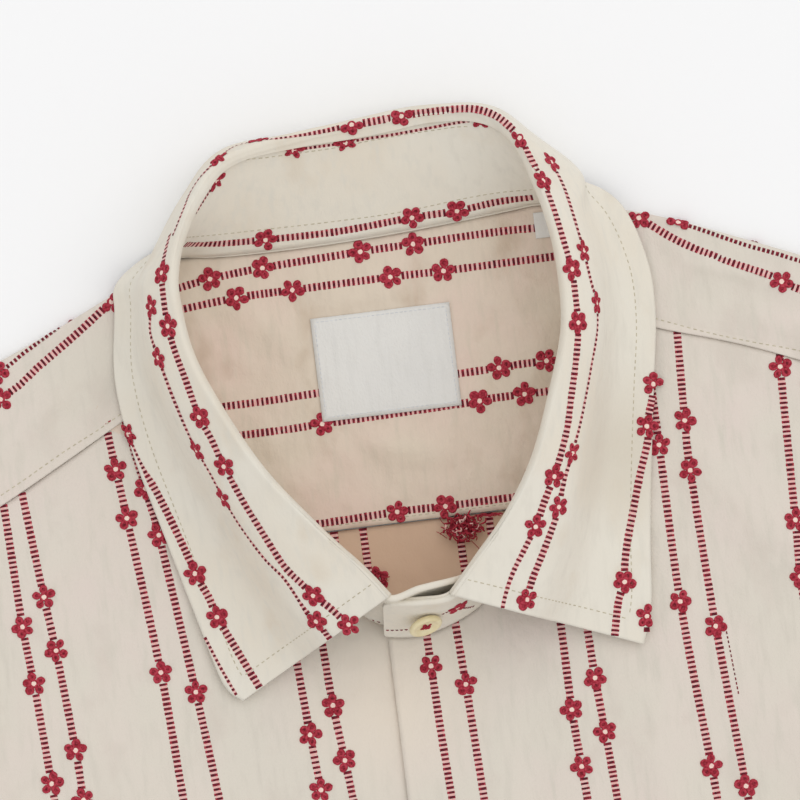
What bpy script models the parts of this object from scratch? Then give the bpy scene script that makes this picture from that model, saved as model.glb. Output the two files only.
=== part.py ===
"""A short-sleeved button-front shirt, lying flat on its back with its collar closed and standing.

The tables and sizes are in millimetres, from the middle of the back neck seam: X runs to the
viewer's right, Y towards the top of the collar and Z up from the table. The points are scaled to
metres where they are made, and the whole shirt is then moved so that its origin is at the middle
of its footprint.
"""

import math
from collections import namedtuple

import bmesh
import bpy
import numpy as np
from mathutils import Matrix, Vector

MM = 0.001
MERGE = 0.0001

# Cloth walls, and the heights of their middles where the panels lie on each other
CLOTH = 1.0
COLLAR_CLOTH = 1.2
SEAM_GAP = 0.3
LAYER = CLOTH + SEAM_GAP
BACK_LEVEL = CLOTH / 2
LINING_LEVEL = BACK_LEVEL + LAYER
FRONT_LEVEL = BACK_LEVEL + LAYER
NECK_LEVEL = LINING_LEVEL + LAYER
SLEEVE_TOP_LEVEL = BACK_LEVEL + 1.7

# Body
HALF_CHEST = 280.0
HALF_HEM = 276.0
HEM_Y = -735.0
YOKE_SEAM_Y = -91.0
UNDER_EDGE_X = 12.5
OVER_EDGE_X = -12.0
SEAM_WIDTH = 0.4
ARMHOLE_STEPS = 8
SIDE_SHARE = 0.66
NECK_SHARE = 0.46
FRONT_COLUMNS = (0, 0.045, 0.09, 0.14, 0.2, 0.27, 0.33, 0.395, NECK_SHARE, 0.55, 0.64, 0.73, 0.82, 0.91, 1)
ARMHOLE = ((232.0, -66.5), (222.0, -110.0), (215.0, -160.0), (219.0, -210.0), (240.0, -256.0), (280.0, -292.0))

# Fronts come down from the neck's level to the back panel between these two heights
DROP_START_Y = -96.0
DROP_END_Y = -240.0
OVERLAP_END_X = 18.0
OVERLAP_RUN = 14.0

# Shoulder folds, from the neck to the shoulder point, and front seams of the yoke
LEFT_FOLD = ((-70.0, -3.0), (-84.0, -8.4), (-124.5, -26.0), (-232.0, -66.5))
RIGHT_FOLD = ((61.5, -0.5), (84.0, -3.4), (133.7, -23.4), (232.0, -66.5))
LEFT_YOKE_SEAM = ((-67.5, -36.5), (-88.0, -47.8), (-130.0, -70.0))
RIGHT_YOKE_SEAM = ((62.3, -30.4), (84.8, -38.6), (129.7, -54.7))
LEFT_YOKE_END_Y = -116.0
RIGHT_YOKE_END_Y = -100.0
YOKE_SPREAD = 1.12
LINING_MARGIN = 4.0
NECK_MARGIN = 0.5

# Sleeves
SLEEVE_TOP = (436.0, -176.0)
SLEEVE_UNDER = (346.0, -333.0)
SLEEVE_INSET = 0.02
SLEEVE_SEAM = 0.8
UNDERARM_EASE = 1.6
SLEEVE_ALONG = 7

# The collar's sections, from its left front end round the back to its right front end: where the
# stand meets the neck, where the collar folds over, where the leaf swells, its outer edge, and how
# far the leaf is tucked under itself on the table.
Station = namedtuple(
    "Station",
    "seam_x seam_y seam_z crest_x crest_y crest_z belly_x belly_y belly_z edge_x edge_y edge_z tuck",
)
COLLAR = (
    Station(-14, -122.0, 4.2, -10.5, -114.0, 35.5, -29.5, -124.5, 29, -60.5, -141.5, 5.5, 0),
    Station(-27, -110.5, 4.2, -18.0, -103.8, 36.5, -36.2, -115.8, 29.5, -66.0, -135.5, 5.5, 0),
    Station(-40, -94.5, 4.2, -30.0, -90.0, 37.5, -45.4, -99.4, 30, -71.5, -115.5, 5.0, 0),
    Station(-52, -75.0, 4.2, -45.3, -69.6, 38.0, -57.4, -75.5, 30.5, -79.0, -86.0, 5.0, 0),
    Station(-63, -51.0, 4.2, -56.8, -47.5, 38.5, -67.8, -51.5, 31, -85.8, -58.0, 5.0, 0),
    Station(-69, -31.0, 4.2, -63.7, -29.5, 38.5, -74.1, -31.8, 31, -88.5, -35.0, 5.0, 0),
    Station(-71, -14.0, 4.2, -66.0, -12.0, 37.5, -75.0, -12.9, 30, -86.0, -14.0, 5.0, 0),
    Station(-70, -3.0, 4.2, -65.3, -2.5, 36.5, -74.4, -3.5, 27, -84.3, -4.6, 5.4, 0),
    Station(-64, 2.0, 3.8, -62.0, 8.0, 34.0, -69.8, 6.2, 14, -72.4, 3.6, 1.1, 0.5),
    Station(-54, 1.2, 3.5, -55.0, 20.0, 29.0, -59.6, 20.8, 11, -57.0, 9.0, 0.7, 1),
    Station(-42, 0.6, 3.4, -44.0, 30.0, 22.0, -46.0, 33.4, 9.5, -44.0, 8.0, 0.7, 1),
    Station(-20, 0.6, 3.4, -20.0, 34.3, 18.0, -20.0, 35.9, 8.5, -20.0, 8.0, 0.7, 1),
    Station(0, 1.2, 3.4, 0.0, 35.8, 17.5, 0.0, 38.1, 8.5, 0.0, 8.0, 0.7, 1),
    Station(20, 2.4, 3.4, 20.0, 37.6, 18.0, 20.0, 39.5, 9.0, 20.0, 9.5, 0.7, 1),
    Station(40, 4.0, 3.4, 38.0, 35.2, 22.0, 41.4, 36.4, 10, 38.0, 11.0, 0.7, 1),
    Station(52, 5.0, 3.5, 47.3, 27.0, 27.0, 53.6, 26.2, 12, 49.0, 12.0, 0.7, 1),
    Station(59, 3.5, 3.9, 52.3, 13.0, 32.5, 66.2, 12.6, 14, 67.4, 9.4, 3.4, 0.25),
    Station(62.5, -4.0, 4.2, 55.6, -1.5, 36.0, 63.9, -0.6, 29, 78.9, 0.7, 5.6, 0),
    Station(63.5, -18.0, 4.2, 57.1, -17.0, 38.0, 66.2, -17.3, 31, 84.9, -18.0, 5.0, 0),
    Station(62, -35.0, 4.2, 56.0, -36.0, 38.5, 65.6, -36.0, 31.5, 85.2, -36.0, 5.0, 0),
    Station(57.5, -55.0, 4.2, 49.6, -56.0, 38.5, 60.6, -56.3, 31.5, 82.0, -57.0, 5.0, 0),
    Station(50, -75.0, 4.2, 41.5, -76.0, 38.0, 54.4, -77.9, 31, 78.3, -81.5, 5.0, 0),
    Station(40.5, -94.0, 4.2, 31.0, -92.5, 37.5, 47.3, -97.3, 30.5, 75.0, -105.5, 5.0, 0),
    Station(28, -111.0, 4.6, 19.6, -105.2, 36.5, 39.8, -113.1, 29.5, 72.8, -126.0, 5.3, 0),
    Station(16, -121.5, 5.4, 10.0, -115.8, 35.5, 32.3, -124.7, 29, 68.8, -139.2, 5.5, 0),
)

# The stand's two ends, which lie over each other at the front
BandEnd = namedtuple("BandEnd", "seam_x seam_y seam_z crest_x crest_y crest_z")
UNDER_END = (
    BandEnd(17.0, -115.5, 4.2, 15.8, -110.4, 27.0),
    BandEnd(10.0, -118.8, 4.2, 10.0, -111.2, 33.0),
    BandEnd(0.0, -121.6, 4.2, 0.0, -112.3, 35.0),
)
OVER_END = (
    BandEnd(0.0, -127.2, 5.4, 0.0, -116.8, 33.4),
    BandEnd(-13.2, -126.4, 5.4, -12.3, -115.4, 31.0),
)
UNDER_ROWS = len(UNDER_END)
LEFT_HPS = 7.0
RIGHT_HPS = 16.5
LEFT_YOKE_CORNER = 4.72
RIGHT_YOKE_CORNER = 18.72

# How far the collar's fold stands over the stand, and rounds out from it
FOLD_RISE = 1.5
FOLD_ROUND = 1.9
FOLD_DROP = 0.7

# Where the leaf turns out onto the chest below its swell, as shares of the way to its edge
LOW_SHARE = 0.38
LOW_RISE = 0.22
LEAF_LOWEST = 1.6
LEAF_PER_STATION = 3
STAND_PER_STATION = 2
LEAF_STEPS = 8
STAND_STEPS = 3

# Long soft folds of the two fronts: the line each runs along, its half width and its height
Fold = namedtuple("Fold", "start_x start_y end_x end_y width height")
FOLDS = (
    Fold(-96, -132, -172, -262, 15, 2.6),
    Fold(-58, -186, -96, -420, 20, 3.4),
    Fold(-140, -330, -232, -560, 24, 3.8),
    Fold(-60, -500, -84, -760, 26, 4.2),
    Fold(-190, -560, -176, -770, 22, 3.4),
    Fold(92, -128, 158, -250, 14, 2.2),
    Fold(66, -212, 88, -430, 22, 3.6),
    Fold(150, -300, 214, -520, 24, 3.2),
    Fold(96, -520, 74, -765, 28, 4.4),
    Fold(196, -600, 214, -775, 20, 3.0),
)

# Trims
LABEL = (-24.4, 20.4, -56.2, -23.0)
SIZE_TAB = (50.5, 58.6, -6.3, 2.0)
BUTTON_RADIUS = 5.5
BUTTON_THICK = 2.3
BUTTON_STEPS = 16
COLLAR_BUTTON_AT = 0.5
BUTTON_EASE = 0.15
FIRST_BUTTON_Y = -196.0
BUTTON_SPACING = 88.0
FRONT_BUTTONS = 6


def smooth(t):
    """A soft step from 0 to 1."""
    t = min(max(t, 0.0), 1.0)
    return t * t * (3 - 2 * t)


def along(rows, t):
    """Point number t of a smooth curve through the rows."""
    rows = np.asarray(rows, float)
    last = len(rows) - 1
    i = min(int(max(t, 0.0)), last - 1)
    f = t - i
    a = rows[max(i - 1, 0)]
    b = rows[i]
    c = rows[i + 1]
    d = rows[min(i + 2, last)]
    return 0.5 * (2 * b + (c - a) * f + (2 * a - 5 * b + 4 * c - d) * f**2 + (3 * b - a - 3 * c + d) * f**3)


def path(points, smoothness=12):
    """A function of 0 to 1 that runs evenly along a smooth curve through the points."""
    count = (len(points) - 1) * smoothness
    fine = np.array([along(points, k / smoothness) for k in range(count + 1)])
    walked = np.concatenate([[0.0], np.cumsum(np.linalg.norm(np.diff(fine, axis=0), axis=1))])
    share = walked / walked[-1]

    def at(s):
        return np.array([np.interp(s, share, fine[:, k]) for k in range(fine.shape[1])])

    return at


def joined(first, second, share):
    """One function of 0 to 1 that runs along the first path and then along the second."""

    def at(s):
        if s <= share:
            return first(s / share)
        return second((s - share) / (1 - share))

    return at


def mirrored(points):
    """The same points on the other side of the middle."""
    return tuple((-x, y) for x, y in points)


def patch(bottom, top, left, right, u, v):
    """A point inside four boundary curves that meet at their corners."""
    ruled = (1 - v) * bottom(u) + v * top(u) + (1 - u) * left(v) + u * right(v)
    low = (1 - u) * bottom(0) + u * bottom(1)
    high = (1 - u) * top(0) + u * top(1)
    return ruled - (1 - v) * low - v * high


def share_at(curve, y):
    """How far along a falling curve its Y is reached."""
    low, high = 0.0, 0.5
    for _ in range(40):
        middle = (low + high) / 2
        if curve(middle)[1] > y:
            low = middle
        else:
            high = middle
    return low


def fold_rise(x, y):
    """How far the long folds lift the front at a place."""
    rise = 0.0
    for fold in FOLDS:
        run = np.array([fold.end_x - fold.start_x, fold.end_y - fold.start_y], float)
        away = np.array([x - fold.start_x, y - fold.start_y], float)
        length = np.linalg.norm(run)
        s = float(away @ run) / length**2
        across = float(away[0] * run[1] - away[1] * run[0]) / length
        rise += fold.height * math.exp(-((across / fold.width) ** 2)) * smooth(3 * s) * smooth(3 * (1 - s))
    return rise


def front_level(x, y, over):
    """Height of the middle of a front's cloth; the front that lies over is lifted at the edge."""
    level = FRONT_LEVEL + (NECK_LEVEL - FRONT_LEVEL) * smooth((y - DROP_END_Y) / (DROP_START_Y - DROP_END_Y))
    if over:
        level += LAYER * (1 - smooth((x - OVERLAP_END_X) / OVERLAP_RUN))
    return level + fold_rise(x, y)


def material(name, colour, roughness):
    """A plain finish for one kind of piece."""
    made = bpy.data.materials.new(name)
    made.use_nodes = True
    shader = made.node_tree.nodes["Principled BSDF"]
    shader.inputs["Base Color"].default_value = (*colour, 1.0)
    shader.inputs["Roughness"].default_value = roughness
    return made


def wall(name, rows, cloth, finish, closed=False):
    """A cloth wall on a grid of points in millimetres; a missing point leaves its faces out."""
    shape = bmesh.new()
    grid = []
    for row in rows:
        grid.append([None if p is None else shape.verts.new([c * MM for c in p]) for p in row])
    for i in range(len(grid) - 1):
        width = len(grid[i])
        for j in range(width if closed else width - 1):
            k = (j + 1) % width
            corners = [grid[i][j], grid[i][k], grid[i + 1][k], grid[i + 1][j]]
            if None not in corners:
                shape.faces.new(corners)
    mesh = bpy.data.meshes.new(name)
    shape.to_mesh(mesh)
    shape.free()
    mesh.shade_smooth()
    mesh.materials.append(finish)
    piece = bpy.data.objects.new(name, mesh)
    SHIRT.objects.link(piece)
    solid = piece.modifiers.new("Cloth wall", "SOLIDIFY")
    solid.thickness = cloth * MM
    solid.offset = 0.0
    solid.use_even_offset = True
    solid.use_rim = True
    return piece


def steps(count):
    """Even steps from 0 to 1, both ends among them."""
    return [k / count for k in range(count + 1)]


def armhole(side):
    """The armhole from the shoulder point to the underarm, in straight steps that all pieces share."""
    curve = path(ARMHOLE if side > 0 else mirrored(ARMHOLE))
    corners = np.array([curve(s) for s in steps(ARMHOLE_STEPS)])

    def at(s):
        return np.array([np.interp(s, steps(ARMHOLE_STEPS), corners[:, k]) for k in range(2)])

    return at


def side_edge(side, top_share):
    """A body panel's side: up the side seam, then up the armhole as far as a share of it."""
    hole = armhole(side)

    def seam(s):
        return np.array([side * (HALF_HEM + (HALF_CHEST - HALF_HEM) * s), HEM_Y + (ARMHOLE[-1][1] - HEM_Y) * s])

    return joined(seam, lambda s: hole(1 - s * (1 - top_share)), SIDE_SHARE)


def body_rows(seam_rows, top_share):
    """Rows of a body panel: given ones along the side seam, and one at each corner of the armhole."""
    rows = [SIDE_SHARE * s for s in seam_rows]
    for k in range(ARMHOLE_STEPS - 1, 0, -1):
        share = k / ARMHOLE_STEPS
        if share > top_share + 0.02:
            rows.append(SIDE_SHARE + (1 - SIDE_SHARE) * (1 - share) / (1 - top_share))
    return rows + [1]


def neck_point(t):
    """A point of the neck seam, numbered as the collar's sections are."""
    return along([row[:2] for row in STAND_ROWS], t + UNDER_ROWS)


def back(finish):
    """The back, from the yoke's seam down to the hem."""
    top_y = YOKE_SEAM_Y - SEAM_WIDTH
    top_share = share_at(armhole(1), top_y)
    left = side_edge(-1, top_share)
    right = side_edge(1, top_share)
    low_left, low_right, high_left, high_right = left(0), right(0), left(1), right(1)
    rows = []
    for v in body_rows(steps(4), top_share):
        row = []
        for u in steps(12):
            x, y = patch(
                lambda s: low_left + (low_right - low_left) * s,
                lambda s: high_left + (high_right - high_left) * s,
                left, right, u, v,
            )
            row.append((x, y, BACK_LEVEL))
        rows.append(row)
    wall("back", rows, CLOTH, finish)


def fold_path(side):
    """The shoulder fold from the neck to the shoulder point."""
    return path(RIGHT_FOLD if side > 0 else LEFT_FOLD)


def yoke_seam_path(side):
    """The yoke's front seam from the neck to the armhole."""
    points, end_y = (RIGHT_YOKE_SEAM, RIGHT_YOKE_END_Y) if side > 0 else (LEFT_YOKE_SEAM, LEFT_YOKE_END_Y)
    hole = armhole(side)
    end = hole(share_at(hole, end_y))
    return path(points + (tuple(end),))


def shoulder_column(bottom, turn, front):
    """One column of the yoke: along the table, round the shoulder fold and back over the front."""
    radius = (NECK_LEVEL - BACK_LEVEL) / 2
    inward = (front - turn) / np.linalg.norm(front - turn)
    column = [(*(bottom + (turn - bottom) * s), BACK_LEVEL) for s in steps(5)]
    for angle in (45, 90, 135):
        out = radius * math.sin(math.radians(angle))
        rise = radius * (1 - math.cos(math.radians(angle)))
        column.append((*(turn - inward * out), BACK_LEVEL + rise))
    return column + [(*(turn + (front - turn) * s), NECK_LEVEL) for s in steps(4)]


def yoke(finish):
    """The outer yoke: under the neck, round both shoulder folds and down to the fronts."""
    columns = []
    neck_steps = 14
    arm_x = armhole(1)(share_at(armhole(1), YOKE_SEAM_Y))[0]
    full = len(shoulder_column(np.zeros(2), np.ones(2), np.zeros(2)))

    def shoulder(side, shares):
        turn_at, seam_at = fold_path(side), yoke_seam_path(side)
        inner_x = YOKE_SPREAD * turn_at(0)[0]
        for s in shares:
            bottom = np.array([inner_x + (side * arm_x - inner_x) * s, YOKE_SEAM_Y])
            columns.append(shoulder_column(bottom, turn_at(s), seam_at(s)))

    shoulder(-1, steps(11)[::-1])
    for k in range(1, neck_steps):
        top = neck_point(LEFT_HPS + (RIGHT_HPS - LEFT_HPS) * k / neck_steps)
        bottom = np.array([YOKE_SPREAD * top[0], YOKE_SEAM_Y])
        column = [(*(bottom + (top - bottom) * s), BACK_LEVEL) for s in steps(5)]
        columns.append(column + [None] * (full - len(column)))
    shoulder(1, steps(11))
    wall("yoke", columns, CLOTH, finish)


def yoke_lining(finish):
    """The inner yoke, which shows inside the neck and lies on the outer one."""
    arm_x = armhole(1)(share_at(armhole(1), YOKE_SEAM_Y))[0] - LINING_MARGIN
    left, right = fold_path(-1), fold_path(1)
    tops = [left(s) - (0, LINING_MARGIN) for s in steps(5)[:0:-1]]
    tops += [neck_point(LEFT_HPS + (RIGHT_HPS - LEFT_HPS) * s) - (0, NECK_MARGIN) for s in steps(12)]
    tops += [right(s) - (0, LINING_MARGIN) for s in steps(5)[1:]]
    count = len(tops) - 1
    columns = []
    for k, top in enumerate(tops):
        top[0] = min(max(top[0], -arm_x), arm_x)
        bottom = np.array([-arm_x + 2 * arm_x * k / count, YOKE_SEAM_Y])
        columns.append([(*(bottom + (top - bottom) * s), LINING_LEVEL) for s in steps(5)])
    wall("yoke_lining", columns, CLOTH, finish)


def front(name, side, finish):
    """One front: its edge, its neck curve, its shoulder seam, armhole, side seam and hem."""
    over = side > 0
    edge_x = OVER_EDGE_X if over else UNDER_EDGE_X
    corner = RIGHT_YOKE_CORNER if over else LEFT_YOKE_CORNER
    edge_t = len(COLLAR) + len(OVER_END) - 1 if over else 1 - UNDER_ROWS
    end_y = RIGHT_YOKE_END_Y if over else LEFT_YOKE_END_Y
    seam = yoke_seam_path(side)
    below = np.array([0.0, -SEAM_WIDTH])
    neck_points = [neck_point(edge_t + (corner - edge_t) * s) for s in steps(14)]
    neck_points[0] = np.array([edge_x, neck_points[0][1]])
    neck_points[-1] = seam(0) + below
    neck = path(neck_points)
    top = joined(neck, lambda s: seam(s) + below, NECK_SHARE)
    top_share = share_at(armhole(side), end_y)
    sides = side_edge(side, top_share)
    shift = top(1) - sides(1)
    rows = []
    for v in body_rows(steps(7), top_share):
        row = []
        for u in FRONT_COLUMNS:
            x, y = patch(
                lambda s: np.array([edge_x + (side * HALF_HEM - edge_x) * s, HEM_Y]),
                top,
                lambda s: np.array([edge_x, HEM_Y + (top(0)[1] - HEM_Y) * s]),
                lambda s: sides(s) + shift * s,
                u, v,
            )
            row.append((x, y, front_level(x, y, over)))
        rows.append(row)
    wall(name, rows, CLOTH, finish)


def sleeve(name, side, finish):
    """A short sleeve lying flat: one tube, folded along its top and at its underarm seam."""
    hole = armhole(side)
    middle = (BACK_LEVEL + SLEEVE_TOP_LEVEL) / 2
    radius = (SLEEVE_TOP_LEVEL - BACK_LEVEL) / 2
    top = np.array([side * SLEEVE_TOP[0], SLEEVE_TOP[1]])
    under = np.array([side * SLEEVE_UNDER[0], SLEEVE_UNDER[1]])
    starts, stops = [], []
    for s in steps(ARMHOLE_STEPS):
        w = min(max(s, SLEEVE_INSET), 1 - SLEEVE_INSET)
        run = hole(w + 0.01) - hole(w - 0.01)
        out = side * np.array([-run[1], run[0]]) / np.linalg.norm(run)
        starts.append(hole(w) + out * (SLEEVE_SEAM + (UNDERARM_EASE if s == 1 else 0)))
        stops.append(top + (under - top) * w)
    turns = []
    for k, inner in ((-1, -3), (0, 2)):
        run = stops[k] - starts[k]
        out = np.array([-run[1], run[0]]) / np.linalg.norm(run)
        turns.append(out if out @ (stops[k] - stops[inner]) > 0 else -out)
    rows = []
    for v in steps(SLEEVE_ALONG):
        plan = [a + (b - a) * v for a, b in zip(starts, stops)]
        ring = [(*p, SLEEVE_TOP_LEVEL) for p in plan]
        for angle in (45, 0, -45):
            turn = math.radians(angle)
            ring.append((*(plan[-1] + turns[0] * radius * math.cos(turn)), middle + radius * math.sin(turn)))
        ring += [(*p, BACK_LEVEL) for p in plan[::-1]]
        for angle in (-45, 0, 45):
            turn = math.radians(angle)
            ring.append((*(plan[0] + turns[1] * radius * math.cos(turn)), middle + radius * math.sin(turn)))
        rows.append(ring)
    wall(name, rows, CLOTH, finish, closed=True)


def stand_point(t, h):
    """A point of the collar stand, h of the way up from the neck seam to the fold."""
    row = along(STAND_ROWS, t)
    return row[:3] + (row[3:6] - row[:3]) * h


def collar_stand(finish):
    """The stand: one strip round the neck, its two ends lying over each other at the front."""
    count = (len(STAND_ROWS) - 1) * STAND_PER_STATION
    rows = [[stand_point(k / STAND_PER_STATION, h) for h in steps(STAND_STEPS)] for k in range(count + 1)]
    wall("collar_stand", rows, COLLAR_CLOTH, finish)


def leaf_section(t):
    """The leaf's section at a station: over the fold, out to its swell and down to its edge."""
    row = Station(*along(COLLAR, t))
    crest = np.array([row.crest_x, row.crest_y, row.crest_z + FOLD_RISE])
    belly = np.array([row.belly_x, row.belly_y, row.belly_z])
    edge = np.array([row.edge_x, row.edge_y, row.edge_z])
    out = belly[:2] - crest[:2]
    out = out / np.linalg.norm(out)
    turn = crest + (*(out * FOLD_ROUND), -FOLD_DROP)
    under = belly + (*(-out * 2.5), 0.0)
    under[2] = max(LEAF_LOWEST, edge[2])
    low = belly + (edge - belly) * (LOW_SHARE, LOW_SHARE, 1 - LOW_RISE)
    low = low + (under - low) * min(max(row.tuck, 0.0), 1.0)
    points = [crest, turn, belly, low, edge]
    section = [crest, turn] + [along(points, 1 + 3 * s) for s in steps(LEAF_STEPS)[1:]]
    return [(x, y, max(z, LEAF_LOWEST)) for x, y, z in section]


def collar_leaf(finish):
    """The turned-down leaf, all round."""
    count = (len(COLLAR) - 1) * LEAF_PER_STATION
    rows = [leaf_section(k / LEAF_PER_STATION) for k in range(count + 1)]
    wall("collar_leaf", rows, COLLAR_CLOTH, finish)


def flat_trim(name, box, finish):
    """A small flat piece that lies on the inner yoke."""
    x0, x1, y0, y1 = box
    level = LINING_LEVEL + LAYER
    rows = [[(x0 + (x1 - x0) * u, y0 + (y1 - y0) * v, level) for u in steps(2)] for v in steps(2)]
    wall(name, rows, CLOTH, finish)


def button(name, mesh, centre, normal):
    """One button, its flat back against what it is sewn to."""
    piece = bpy.data.objects.new(name, mesh)
    SHIRT.objects.link(piece)
    turned = Vector(normal).to_track_quat("Z", "Y").to_matrix().to_4x4()
    piece.matrix_world = Matrix.Translation(Vector(centre) * MM) @ turned
    screw = piece.modifiers.new("Turned", "SCREW")
    screw.axis = "Z"
    screw.steps = BUTTON_STEPS
    screw.render_steps = BUTTON_STEPS
    screw.use_merge_vertices = True
    screw.merge_threshold = MERGE


def buttons(finish):
    """The collar's button on the stand, and the row of them down the front."""
    dish, rim = 0.58 * BUTTON_RADIUS, 0.74 * BUTTON_RADIUS
    profile = (
        (0, BUTTON_THICK - 0.6), (dish, BUTTON_THICK - 0.6), (rim, BUTTON_THICK),
        (0.9 * BUTTON_RADIUS, BUTTON_THICK - 0.1), (BUTTON_RADIUS, 0.55 * BUTTON_THICK),
        (0.82 * BUTTON_RADIUS, 0), (0, 0),
    )
    mesh = bpy.data.meshes.new("button")
    edges = [(k, k + 1) for k in range(len(profile) - 1)]
    mesh.from_pydata([(x * MM, 0, z * MM) for x, z in profile], edges, [])
    mesh.materials.append(finish)
    t = len(STAND_ROWS) - len(OVER_END)
    here = stand_point(t, COLLAR_BUTTON_AT)
    run = stand_point(t + 0.3, COLLAR_BUTTON_AT) - stand_point(t - 0.3, COLLAR_BUTTON_AT)
    up = stand_point(t, 1) - stand_point(t, 0)
    normal = np.cross(up, run)
    normal = normal / np.linalg.norm(normal)
    if normal[2] < 0:
        normal = -normal
    lift = COLLAR_CLOTH / 2 + SEAM_GAP + BUTTON_EASE
    button("button_collar", mesh, here + normal * lift, normal)
    for k in range(FRONT_BUTTONS):
        y = FIRST_BUTTON_Y - BUTTON_SPACING * k
        top = front_level(0, y, True) + CLOTH / 2 + SEAM_GAP
        button(f"button_{k + 1}", mesh, (0, y, top), (0, 0, 1))


def main():
    """Build the shirt and set its origin at the middle of its footprint."""
    cloth = material("shirt cloth", (0.74, 0.68, 0.6), 0.9)
    inner = material("inner yoke cloth", (0.64, 0.56, 0.48), 0.92)
    collar = material("collar cloth", (0.76, 0.71, 0.63), 0.9)
    white = material("white tape", (0.82, 0.82, 0.8), 0.8)
    shell = material("button", (0.8, 0.72, 0.55), 0.35)
    back(cloth)
    yoke(cloth)
    yoke_lining(inner)
    front("front_left", -1, cloth)
    front("front_right", 1, cloth)
    sleeve("sleeve_left", -1, cloth)
    sleeve("sleeve_right", 1, cloth)
    collar_stand(collar)
    collar_leaf(collar)
    flat_trim("label", LABEL, white)
    flat_trim("size_tab", SIZE_TAB, white)
    buttons(shell)

    bpy.context.view_layer.update()
    graph = bpy.context.evaluated_depsgraph_get()
    corners = []
    for piece in SHIRT.objects:
        seen = piece.evaluated_get(graph)
        corners += [seen.matrix_world @ vertex.co for vertex in seen.data.vertices]
    low = Vector([min(c[k] for c in corners) for k in range(3)])
    high = Vector([max(c[k] for c in corners) for k in range(3)])
    holder = bpy.data.objects.new("shirt origin", None)
    SHIRT.objects.link(holder)
    for piece in SHIRT.objects:
        if piece is not holder:
            piece.parent = holder
    holder.location = (-(low.x + high.x) / 2, -(low.y + high.y) / 2, -low.z)


STAND_ROWS = tuple(UNDER_END) + tuple(BandEnd(*row[:6]) for row in COLLAR) + tuple(OVER_END)

for old in list(bpy.data.objects):
    bpy.data.objects.remove(old, do_unlink=True)
SHIRT = bpy.data.collections.new("shirt")
bpy.context.scene.collection.children.link(SHIRT)
main()
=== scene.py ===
"""The look of a button-front shirt with an embroidered stripe, laid flat and seen from above.

Tables are in millimetres from the middle of the back neck seam, X to the viewer's right, Y towards
the collar's top and Z up from the table; they are moved into the frame where meshes are made.
"""

import math
from collections import namedtuple

import bpy
import numpy as np
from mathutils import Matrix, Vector, noise
from mathutils.bvhtree import BVHTree


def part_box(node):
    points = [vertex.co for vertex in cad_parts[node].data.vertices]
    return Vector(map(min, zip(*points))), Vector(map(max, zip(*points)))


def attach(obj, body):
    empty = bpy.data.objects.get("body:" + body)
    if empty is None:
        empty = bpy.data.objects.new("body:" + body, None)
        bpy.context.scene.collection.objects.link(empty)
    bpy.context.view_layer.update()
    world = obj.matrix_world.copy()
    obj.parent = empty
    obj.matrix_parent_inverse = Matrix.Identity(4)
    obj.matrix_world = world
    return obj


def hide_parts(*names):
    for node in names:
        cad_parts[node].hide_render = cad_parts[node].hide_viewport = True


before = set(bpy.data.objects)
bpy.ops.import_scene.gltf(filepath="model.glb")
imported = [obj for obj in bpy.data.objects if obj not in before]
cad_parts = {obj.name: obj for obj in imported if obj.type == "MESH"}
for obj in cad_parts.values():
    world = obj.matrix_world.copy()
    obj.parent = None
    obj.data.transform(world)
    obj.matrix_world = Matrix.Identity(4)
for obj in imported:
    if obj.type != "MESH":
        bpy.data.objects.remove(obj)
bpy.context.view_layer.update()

MM = 0.001
BACK_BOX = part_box("back")
SHIFT = np.array([0.0, BACK_BOX[0][1] + 0.735, BACK_BOX[0][2]])
RANDOM = np.random.default_rng(23)

# Cloth levels and outlines, as in the solid
CLOTH = 1.0
LAYER = 1.3
BACK_LEVEL = 0.5
LINING_LEVEL = 1.8
FRONT_LEVEL = 1.8
NECK_LEVEL = 3.1
SLEEVE_TOP_LEVEL = 2.2
HALF_CHEST = 280.0
HALF_HEM = 276.0
HEM_Y = -735.0
YOKE_SEAM_Y = -91.0
UNDER_EDGE_X = 12.5
OVER_EDGE_X = -12.0
SEAM_WIDTH = 0.4
SIDE_SHARE = 0.66
NECK_SHARE = 0.46
ARMHOLE_STEPS = 8
ARMHOLE = ((232, -66.5), (222, -110), (215, -160), (219, -210), (240, -256), (280, -292))
DROP_START_Y = -96.0
DROP_END_Y = -240.0
OVERLAP_END_X = 18.0
OVERLAP_RUN = 14.0
LEFT_FOLD = ((-70.0, -3.0), (-84.0, -8.4), (-124.5, -26.0), (-232.0, -66.5))
RIGHT_FOLD = ((61.5, -0.5), (84.0, -3.4), (133.7, -23.4), (232.0, -66.5))
LEFT_YOKE_SEAM = ((-67.5, -36.5), (-88.0, -47.8), (-130.0, -70.0))
RIGHT_YOKE_SEAM = ((62.3, -30.4), (84.8, -38.6), (129.7, -54.7))
LEFT_YOKE_END_Y = -116.0
RIGHT_YOKE_END_Y = -100.0
SLEEVE_TOP = (436.0, -176.0)
SLEEVE_UNDER = (346.0, -333.0)

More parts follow.
